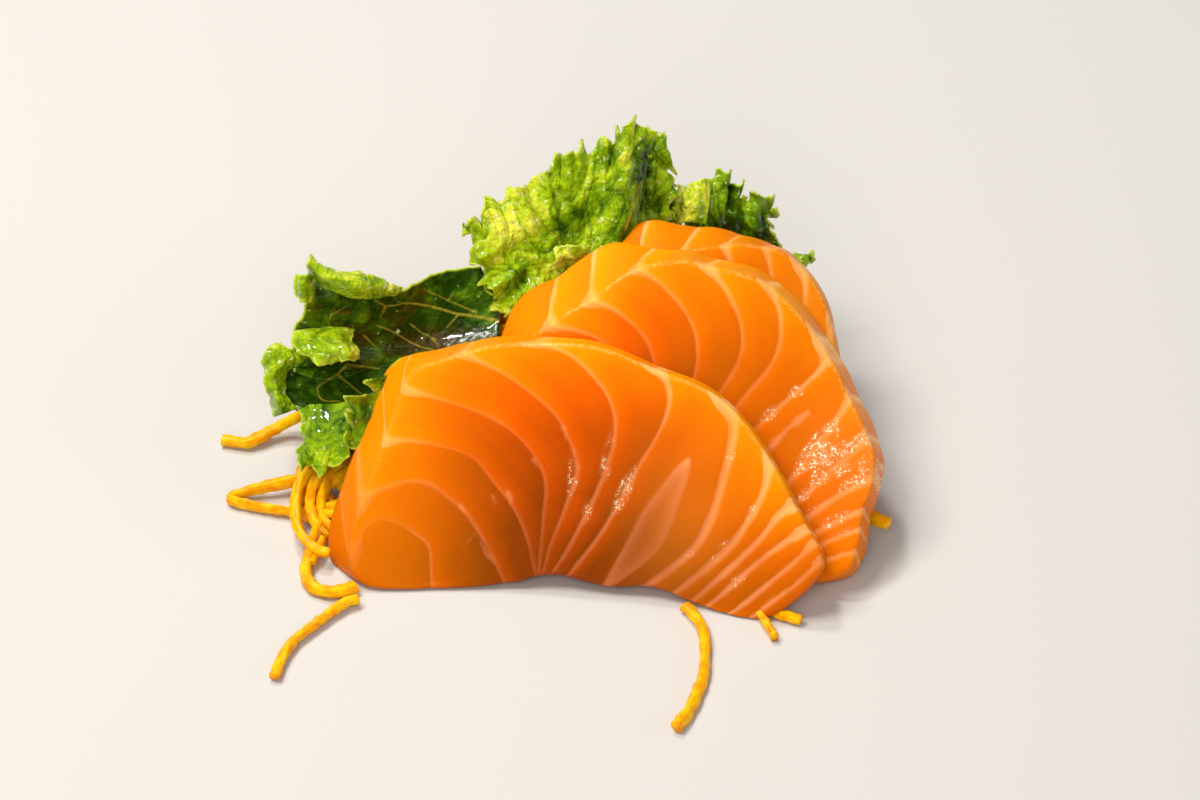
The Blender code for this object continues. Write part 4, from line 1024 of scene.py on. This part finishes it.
def teeth(place, seed):
    """Heights, about -1 to 1, of a leaf's pointed teeth at each place in millimetres along its edge."""
    pulse = place / TOOTH_SPACING + 0.35 * np.sin(place / 4.1 + seed) + 0.2 * np.sin(place / 1.7 + 2.0 * seed)
    large = 1.0 - 1.7 * np.abs(np.sin(math.pi * pulse)) ** 0.7
    small = 1.0 - 1.7 * np.abs(np.sin(math.pi * (2.3 * pulse + 0.4))) ** 0.7
    return 0.7 * large + 0.25 * small + 0.3 * np.sin(place / 5.3 + 3.0 * seed)


def leaf_panel(spec, seed):
    """One curled panel of a leaf: its front and back points, their faces, and values for its finish.

    The sheet is a spline along each row, then a spline from row to row. Near each free side it is
    lifted by a wave that dies away inwards, and moved in its own plane by teeth. Blisters between
    the veins are the size of a soft random field, so that they meet in narrow creases.
    """
    rows = [spline(row, 40) for row in spec["rows"]]
    long = path_lengths(rows[-1])[-1]
    tall = path_lengths(spline([row[20] for row in rows], 20))[-1]
    u_count, v_count = int(long / LETTUCE_STEP) + 8, int(tall / LETTUCE_STEP) + 8
    rows = np.array([spline(row, u_count) for row in spec["rows"]])
    cage = np.stack([spline(rows[:, u], v_count) for u in range(u_count)])
    sheet = slope_point(cage[:, :, 0], cage[:, :, 1], cage[:, :, 2])

    along_u = np.concatenate([np.zeros((1, v_count)),
                              np.linalg.norm(np.diff(sheet, axis=0), axis=2).cumsum(axis=0)])
    along_v = np.concatenate([np.zeros((u_count, 1)),
                              np.linalg.norm(np.diff(sheet, axis=1), axis=2).cumsum(axis=1)], axis=1)
    du, dv = np.gradient(sheet, axis=0), np.gradient(sheet, axis=1)
    du /= np.linalg.norm(du, axis=2)[:, :, None]
    dv /= np.linalg.norm(dv, axis=2)[:, :, None]
    sides = {"first": (along_v, along_u[:, :1] + 0 * along_v, -dv),
             "last": (along_v[:, -1:] - along_v, along_u[:, -1:] + 0 * along_v, dv),
             "start": (along_u, along_v[:1] + 0 * along_u, -du),
             "end": (along_u[-1:] - along_u, along_v[-1:] + 0 * along_u, du)}
    normal = sheet_normals(sheet)
    rim = np.full((u_count, v_count), NO_RIM)
    lift = np.zeros((u_count, v_count))
    shift = np.zeros((u_count, v_count, 3))
    for number, side in enumerate(spec["free"].split()):
        inward, place, outward = sides[side]
        wave = np.sin(place * FRILL_RATE + 0.9 * np.sin(place / 3.0 + seed) + seed + number)
        wave += 0.5 * np.sin(2.0 * place * FRILL_RATE + 1.2 * seed)
        lift += spec["frill"] * np.exp(-(inward / FRILL_REACH) ** 1.3) * wave
        jag = spec["tooth"] * teeth(place, seed + number) * np.exp(-(inward / TOOTH_REACH) ** 1.2)
        shift += outward * jag[:, :, None]
        rim = np.minimum(rim, inward)
    spots = np.stack([along_u, BLISTER_STRETCH * along_v], axis=-1)
    warp = [ripples(spots, BLISTER_WARP_SIZE, seed + 50 + axis) for axis in (0, 1)]
    spots = spots + BLISTER_WARP * np.stack(warp, axis=-1)
    puffs = [ripples(spots, wide, seed + 20 + number) ** 2 for number, wide in enumerate(BLISTER_WIDTHS)]
    swell = sum(share * (puff / (puff + CREASE)) for share, puff in zip(BLISTER_SHARES, puffs))
    calm = 1.0 - RIM_CALM * np.exp(-rim / 1.2)
    sheet = sheet + shift + normal * (lift + spec["blister"] * calm * (swell - BLISTER_MIDDLE))[:, :, None]
    half = sheet_normals(sheet) * (LETTUCE_THICK / 2)
    points = np.vstack([(sheet + half).reshape(-1, 3), (sheet - half).reshape(-1, 3)])

    count = u_count * v_count
    front = grid_faces(u_count, v_count)[:, ::-1]
    number = np.arange(count).reshape(u_count, v_count)
    loop = np.concatenate([number[:-1, 0], number[-1, :-1], number[:0:-1, -1], number[0, :0:-1]])
    after = np.roll(loop, -1)
    skirt = np.stack([after, loop, loop + count, after + count], axis=1)

    flat = cage[:, :, :2].reshape(-1, 2)
    vein = mark_distance(flat, [(width / 2, width / 5, line) for width, line in LETTUCE_VEINS])
    bronze = np.max([soft_spot(flat, *patch) for patch in LETTUCE_BRONZE], axis=0)
    # Tone: the panel's own, brighter at its free edges, with the painted highlights and painted shade of
    # LETTUCE_TONES
    tone = spec["tone"] + MARGIN_GLOW * np.exp(-rim.ravel() / MARGIN_WIDTH)
    for *place, change in LETTUCE_TONES:
        tone += change * soft_spot(flat, *place)
    values = {"edge": rim.ravel(), "vein": vein, "swell": swell.ravel(), "bronze": bronze, "tone": tone}
    values = {key: np.tile(value, 2) for key, value in values.items()}
    return points, [front, front[:, ::-1] + count, skirt], values


def build_leaf(name, panels, finish, first_seed):
    """A leaf: all of its panels in one mesh."""
    parts = [leaf_panel(spec, first_seed + number) for number, spec in enumerate(panels.values())]
    points, faces, values = join_parts(parts)
    values = {key: np.concatenate([part[key] for part in values]) for key in values[0]}
    return add_piece(name + "_leaf", points, faces, finish, [name], values)


def strand(path, twist, seed):
    """A shred: a rounded square section carried along a path, which turns slowly and tapers shut.

    The section is a superellipse, its size wanders along the shred, and each end closes on a point.
    """
    tangent = np.gradient(path, axis=0)
    tangent /= np.linalg.norm(tangent, axis=1)[:, None]
    side = np.cross(tangent, [0.0, 0.0, 1.0])
    side /= np.linalg.norm(side, axis=1)[:, None]
    rise = np.cross(side, tangent)
    length = path_lengths(path)
    angle = np.linspace(0.0, 2 * math.pi, SHRED_SIDES, endpoint=False)[None, :]
    power = np.abs(np.cos(angle)) ** SHRED_ROUND + np.abs(np.sin(angle)) ** SHRED_ROUND
    spots = np.stack(np.broadcast_arrays(length[:, None], 3.0 * np.cos(angle), 3.0 * np.sin(angle)), axis=-1)
    uneven = 1.0 + SHRED_ROUGH * ripples(spots, 2.6, seed) + SHRED_ROUGH * ripples(spots, 9.0, seed + 1)
    radius = SHRED_WIDTH / 2 * power ** (-1.0 / SHRED_ROUND) * uneven
    radius = radius * (0.92 + 0.12 * np.sin(length / 9.0 + seed))[:, None]
    flat = radius * np.cos(angle) * (1.0 + SHRED_FLATNESS)
    steep = radius * np.sin(angle) * (1.0 - SHRED_FLATNESS)
    lean = twist * length[:, None] / 30.0 + seed
    level = flat * np.cos(lean) - steep * np.sin(lean)
    upright = flat * np.sin(lean) + steep * np.cos(lean)
    ring = path[:, None] + level[:, :, None] * side[:, None] + upright[:, :, None] * rise[:, None]
    poles = np.stack([path[0] - SHRED_TIP * tangent[0], path[-1] + SHRED_TIP * tangent[-1]])
    points = np.vstack([ring.reshape(-1, 3), poles])
    points[:, 2] = np.maximum(points[:, 2], SHRED_LOWEST)
    rows = len(path)
    faces = [grid_faces(rows, SHRED_SIDES, wrapped=True)[:, ::-1], fan(rows * SHRED_SIDES, 0, SHRED_SIDES),
             fan(rows * SHRED_SIDES + 1, (rows - 1) * SHRED_SIDES, SHRED_SIDES, flipped=True)]
    uv = np.stack(np.broadcast_arrays(angle / (2 * math.pi), length[:, None] / 10.0), axis=-1).reshape(-1, 2)
    return points, faces, np.vstack([uv, uv[:1], uv[-1:]]) + [0.0, 3.7 * seed]


def solid_tree(placed):
    """A search tree of an object's faces."""
    mesh = placed.data
    spots = np.empty(3 * len(mesh.vertices), dtype=np.float32)
    mesh.vertices.foreach_get("co", spots)
    return BVHTree.FromPolygons(spots.reshape(-1, 3).tolist(), [tuple(p.vertices) for p in mesh.polygons])


def clearance(trees, point, most=12.0):
    """Distance in millimetres from a point to the nearest of the other pieces, up to the most."""
    spot = Vector(point) * MM
    hits = [tree.find_nearest(spot, most * MM)[3] for tree in trees]
    return min([hit for hit in hits if hit is not None] + [most * MM]) / MM


def heap_core(trees):
    """The mound under the shreds: rays from its middle reach the dome, or stop short of the pieces."""
    middle = np.array([*HEAP_MIDDLE, 0.0])
    rings = np.linspace(1.0, 0.1, HEAP_RINGS)
    angle = np.linspace(0.0, 2 * math.pi, HEAP_ROUND, endpoint=False)
    reach = np.stack(np.broadcast_arrays(HEAP_HALF_WIDTH * rings[:, None] * np.cos(angle),
                                         HEAP_HALF_DEPTH * rings[:, None] * np.sin(angle),
                                         HEAP_HEIGHT * (1.0 - rings[:, None] ** HEAP_SWELL)), axis=-1)
    shares = np.linspace(*HEAP_SHARES)
    free = np.array([[[clearance(trees, middle + ray * share) > HEAP_CLEARANCE for share in shares]
                      for ray in ring] for ring in reach])
    kept = np.minimum.accumulate(free, axis=2).sum(axis=2)
    share = shares[np.maximum(kept - 1, 0)]
    for _ in range(2):
        share = np.minimum(share, np.minimum(np.roll(share, 1, axis=1), np.roll(share, -1, axis=1)))
    points = (middle + reach * share[:, :, None]).reshape(-1, 3)
    count = len(points)
    points = np.vstack([points, points[-HEAP_ROUND:].mean(axis=0), middle])
    faces = [grid_faces(HEAP_RINGS, HEAP_ROUND, wrapped=True), fan(count, count - HEAP_ROUND, HEAP_ROUND),
             fan(count + 1, 0, HEAP_ROUND, flipped=True)]
    return points, faces, np.zeros((len(points), 2))


def clear_run(path, trees, gap):
    """The longest unbroken stretch of a path that keeps this gap to the other pieces."""
    free = [clearance(trees, point) > SHRED_REACH * SHRED_WIDTH + gap for point in path]
    best, start = (0, 0), None
    for place, is_free in enumerate(free + [False]):
        if is_free and start is None:
            start = place
        if not is_free and start is not None:
            best = max(best, (start, place), key=lambda run: run[1] - run[0])
            start = None
    return path[best[0]:best[1]]


def height_map(points, faces):
    """Heights of the core on a square grid of the ground plan, which the dropped shreds raise."""
    tree = BVHTree.FromPolygons(points.tolist(), [tuple(face) for group in faces for face in group.tolist()])
    height = np.zeros([int(side / HEAP_CELL) for side in MAP_SIZE])
    for i, j in np.ndindex(height.shape):
        x, y = MAP_CORNER + HEAP_CELL * np.array([i, j])
        hit = tree.ray_cast(Vector((x, y, 3.0 * HEAP_HEIGHT)), Vector((0.0, 0.0, -1.0)))[0]
        height[i, j] = hit.z if hit else 0.0
    return height


def drop_line(rng):
    """A shred's random bending line on the ground plan, its twist and its seed."""
    turn, reach = rng.uniform(0.0, 2 * math.pi), math.sqrt(rng.uniform(*LOOSE_STARTS))
    start = np.array(HEAP_MIDDLE) + reach * np.array([HEAP_HALF_WIDTH * math.cos(turn),
                                                      HEAP_HALF_DEPTH * math.sin(turn)])
    bend, swing, pace = rng.uniform(-0.07, 0.07), rng.uniform(-0.06, 0.06), rng.uniform(0.2, 0.6)
    stride = rng.uniform(*LOOSE_LENGTH) / LOOSE_STEPS
    steps = np.arange(LOOSE_STEPS)
    heading = rng.uniform(0.0, 2 * math.pi) + np.cumsum((bend + swing * np.sin(steps * pace)) * stride)
    plan = start + np.cumsum(np.stack([np.cos(heading), np.sin(heading)], axis=1) * stride, axis=0)
    return plan, rng.uniform(-2.0, 2.0), int(rng.integers(10, 900))


def build_bed(trees, finish):
    """The bed: its core, the shreds that show in known places, and shreds dropped one on another.

    Each dropped shred follows a bending line on the ground plan and lies on the highest thing
    under it, which it then raises for the next.
    """
    parts = [heap_core(trees)]
    for number, points in enumerate(BED_SHREDS):
        path = clear_run(spline(points, 12 * len(points)), trees, KNOWN_GAP)
        if len(path) > 6:
            parts.append(strand(path, 1.0, number))
    height = height_map(*parts[0][:2])
    rng = np.random.default_rng(SHRED_SEED)
    spread = int(SHRED_WIDTH / 2 / HEAP_CELL)
    offsets = [(i, j) for i in range(-spread, spread + 1) for j in range(-spread, spread + 1)]
    last = np.array(height.shape) - 1 - spread
    for _ in range(LOOSE_SHREDS):
        plan, twist, seed = drop_line(rng)
        cell = np.clip(((plan - MAP_CORNER) / HEAP_CELL).astype(int), spread, last)
        under = np.max([height[cell[:, 0] + i, cell[:, 1] + j] for i, j in offsets], axis=0)
        padded = np.pad(under, LOOSE_STIFFNESS, mode="edge")
        smooth = np.mean([padded[k:k + LOOSE_STEPS] for k in range(2 * LOOSE_STIFFNESS + 1)], axis=0)
        z = np.maximum(smooth + LIES_AT * SHRED_WIDTH, SHRED_REST)
        path = clear_run(np.column_stack([plan, z]), trees, SHRED_GAP)
        out = np.hypot((path[:, 0] - HEAP_MIDDLE[0]) / HEAP_HALF_WIDTH,
                       (path[:, 1] - HEAP_MIDDLE[1]) / HEAP_HALF_DEPTH)
        if len(path) < LOOSE_FEWEST or out.max() > LOOSE_REACH or path[:, 2].max() > LOOSE_HIGHEST:
            continue
        if path[:, 0].min() < LOOSE_LEFT:
            continue
        parts.append(strand(path, twist, seed))
        cell = np.clip(((path[:, :2] - MAP_CORNER) / HEAP_CELL).astype(int), spread, last)
        for i, j in offsets:
            spot = (cell[:, 0] + i, cell[:, 1] + j)
            height[spot] = np.maximum(height[spot], path[:, 2] + RAISES_BY * SHRED_WIDTH)
    points, faces, uvs = join_parts(parts)
    return add_piece("carrot_bed", points, faces, finish, ["carrot_shreds"], uv=np.vstack(uvs))


def build_table_shred(name, points, finish, seed):
    """A shred that lies on its own on the table."""
    path = spline([(x, y, SHRED_REST) for x, y in points], 10 * len(points))
    points, faces, uv = strand(path, 0.8, seed)
    return add_piece(name + "_strip", points, faces, finish, [name], uv=uv)


def carrot_finish():
    """Raw carrot, shredded: bright yellow-orange, moist on its cut sides, with fine lengthwise fibres."""
    made, tree = new_material("raw_carrot")
    coordinates = add_node(tree, "TexCoord")
    stretched = add_node(tree, "Mapping", {"Vector": coordinates.outputs["UV"], "Scale": (9.0, 2.2, 1.0)})
    fibre = add_node(tree, "TexNoise", {"Vector": stretched, "Scale": 1.4, "Detail": 4.0, "Roughness": 0.6})
    patch = add_node(tree, "TexNoise", {"Vector": coordinates.outputs["Object"], "Scale": 420.0,
                                        "Detail": 3.0})
    mixed = add_node(tree, "Math", {0: fibre, 1: patch}, operation="ADD")
    shade = add_node(tree, "MapRange", {"Value": mixed, "From Min": 0.72, "From Max": 1.28})
    colour = add_node(tree, "ValToRGB", {"Fac": shade}, stops=[
        (0.0, "EA8603"), (0.35, "F7A404"), (0.7, "FABE06"), (1.0, "FCCB18")])
    bump = add_node(tree, "Bump", {"Height": mixed, "Strength": 0.5, "Distance": 0.0003})
    shader = add_node(tree, "BsdfPrincipled", {
        "Base Color": colour, "Roughness": 0.42, "IOR": 1.4, "Specular IOR Level": 0.2,
        "Subsurface Weight": 0.2, "Subsurface Scale": 0.0015, "Subsurface Radius": (1.0, 0.6, 0.1),
        "Coat Weight": 0.12, "Coat Roughness": 0.2, "Normal": bump})
    add_node(tree, "OutputMaterial", {"Surface": shader})
    return made


def lettuce_finish():
    """Washed leaf lettuce: thin, waxy and translucent, yellow-green, with painted light where it bulges and
    painted shade in its folds.

    Ribs are ochre, the leaf is dimpled between a net of veins, and a wet coat gives white glints; more glints
    are painted where the leaf is bright.
    """
    made, tree = new_material("leaf_lettuce")
    place = add_node(tree, "TexCoord").outputs["Object"]
    rim, vein, swell, tone, bronze = (add_node(tree, "Attribute", attribute_name=name)
                                      for name in ("edge", "vein", "swell", "tone", "bronze"))
    mottle = add_node(tree, "TexNoise", {"Vector": place, "Scale": 210.0, "Detail": 6.0, "Roughness": 0.6})
    fine = add_node(tree, "TexNoise", {"Vector": place, "Scale": 1300.0, "Detail": 3.0})
    net = add_node(tree, "TexVoronoi", {"Vector": place, "Scale": 900.0}, feature="SMOOTH_F1")

    # Painted light and shade: lighter on the blisters and darker in the creases between them, over noise and
    # the tone
    shade = add_node(tree, "Math", {0: swell, 1: 0.32, 2: -0.7}, operation="MULTIPLY_ADD")
    shade = add_node(tree, "Math", {0: mottle, 1: 1.15, 2: shade}, operation="MULTIPLY_ADD")
    shade = add_node(tree, "Math", {0: tone, 1: 0.66, 2: shade}, operation="MULTIPLY_ADD")
    colour = add_node(tree, "ValToRGB", {"Fac": shade}, stops=[
        (0.0, "213D02"), (0.2, "3E6404"), (0.45, "7A9E04"), (0.7, "ABC80A"), (1.0, "E2E440")])
    tinged = add_node(tree, "Math", {0: bronze, 1: mottle}, operation="MULTIPLY")
    # Painted glints of drops and wet ridges, only where the leaf is bright
    drop_glints = add_node(tree, "TexNoise", {"Vector": place, "Scale": 900.0, "Detail": 2.0, "Distortion": 0.6})
    bright = add_node(tree, "Math", {0: shade, 1: 0.12, 2: drop_glints}, operation="MULTIPLY_ADD")
    # Over the leaf's green, in this order: bronze, ochre ribs, a pale margin and the painted glints
    for value, low, high, most, tint in (
            (tinged, 0.1, 0.55, 0.85, "4B2D05"), (vein, 0.15, -0.08, 0.7, "B3A02C"),
            (rim, 0.55, 0.1, 0.75, "D2E43C"), (bright, 0.7, 0.78, 0.75, "EAF5A8")):
        share = add_node(tree, "MapRange", {"Value": value, "From Min": low, "From Max": high,
                                            "To Max": most})
        colour = add_node(tree, "Mix", {"Factor": share, "A": colour, "B": srgb(tint)}, data_type="RGBA")

    height = add_node(tree, "Math", {0: fine, 1: 0.5, 2: mottle}, operation="MULTIPLY_ADD")
    height = add_node(tree, "Math", {0: net, 1: -0.4, 2: height}, operation="MULTIPLY_ADD")
    rough = add_node(tree, "MapRange", {"Value": tone, "From Max": 0.6, "To Min": 0.6, "To Max": 1.0})
    bump = add_node(tree, "Bump", {"Height": height, "Strength": rough, "Distance": 0.0014})
    shader = add_node(tree, "BsdfPrincipled", {
        "Base Color": colour, "Roughness": 0.36, "IOR": 1.42, "Specular IOR Level": 0.35,
        "Subsurface Weight": 0.25, "Subsurface Scale": 0.001, "Subsurface Radius": (0.6, 1.0, 0.1),
        "Coat Weight": 1.0, "Coat Roughness": 0.1, "Normal": bump})
    add_node(tree, "OutputMaterial", {"Surface": shader})
    return made


def add_camera():
    """A long lens at the height that looks square at the slices, 38 degrees above the table."""
    lens = bpy.data.cameras.new("camera")
    lens.lens = LENS
    lens.sensor_width = SENSOR_WIDTH
    lens.clip_end = 20.0
    camera = bpy.data.objects.new("camera", lens)
    away = VIEW_WIDTH * LENS / SENSOR_WIDTH
    camera.location = Vector(AIM) * MM + Vector((0.0, -math.cos(LEAN), math.sin(LEAN))) * away
    camera.rotation_euler = (math.pi / 2 - LEAN, 0.0, 0.0)
    bpy.context.scene.collection.objects.link(camera)
    bpy.context.scene.camera = camera


def add_light(name, place, size, power, colour, mirrored):
    """A square soft light that faces the serving. One that isn't mirrored leaves no highlight."""
    data = bpy.data.lights.new(name, "AREA")
    data.shape = "SQUARE"
    data.size = size
    data.energy = power
    data.color = srgb(colour)[:3]
    light = bpy.data.objects.new(name, data)
    light.visible_glossy = mirrored
    light.location = place
    light.rotation_euler = (Vector((0.0, 0.0, 0.02)) - Vector(place)).to_track_quat("-Z", "Y").to_euler()
    bpy.context.scene.collection.objects.link(light)


def add_studio():
    """A pale matt floor, the soft lights, and an even surround that gives no highlight."""
    floor_finish, tree = new_material("pale_matt_floor")
    shader = add_node(tree, "BsdfPrincipled", {"Base Color": srgb("CCCAC6"), "Roughness": 0.8})
    add_node(tree, "OutputMaterial", {"Surface": shader.outputs["BSDF"]})
    mesh = bpy.data.meshes.new("floor")
    side, low = FLOOR_SIDE, FLOOR_LEVEL
    mesh.from_pydata([(-side, -side, low), (side, -side, low), (side, side, low), (-side, side, low)],
                     [], [(0, 1, 2, 3)])
    mesh.materials.append(floor_finish)
    floor = bpy.data.objects.new("floor", mesh)
    bpy.context.scene.collection.objects.link(floor)
    for light in LIGHTS:
        add_light(*light)
    world = bpy.data.worlds.new("studio")
    world.use_nodes = True
    background = world.node_tree.nodes["Background"]
    background.inputs["Color"].default_value = srgb("F6F3EE")
    background.inputs["Strength"].default_value = 0.24
    world.cycles_visibility.glossy = False
    scene = bpy.context.scene
    scene.world = world
    scene.view_settings.view_transform = "Standard"
    scene.view_settings.look = "None"


salmon, lettuce, carrot = salmon_finish(), lettuce_finish(), carrot_finish()
pieces = [build_slice(slice_name, slice_spec, salmon) for slice_name, slice_spec in SLICES.items()]
for number, (leaf_name, panels) in enumerate(LETTUCE.items()):
    pieces.append(build_leaf(leaf_name, panels, lettuce, 10 * number + 1))
for number, (shred_name, shred_points) in enumerate(TABLE_SHREDS.items()):
    pieces.append(build_table_shred(shred_name, shred_points, carrot, 40 + number))
build_bed([solid_tree(piece) for piece in pieces], carrot)
add_camera()
add_studio()
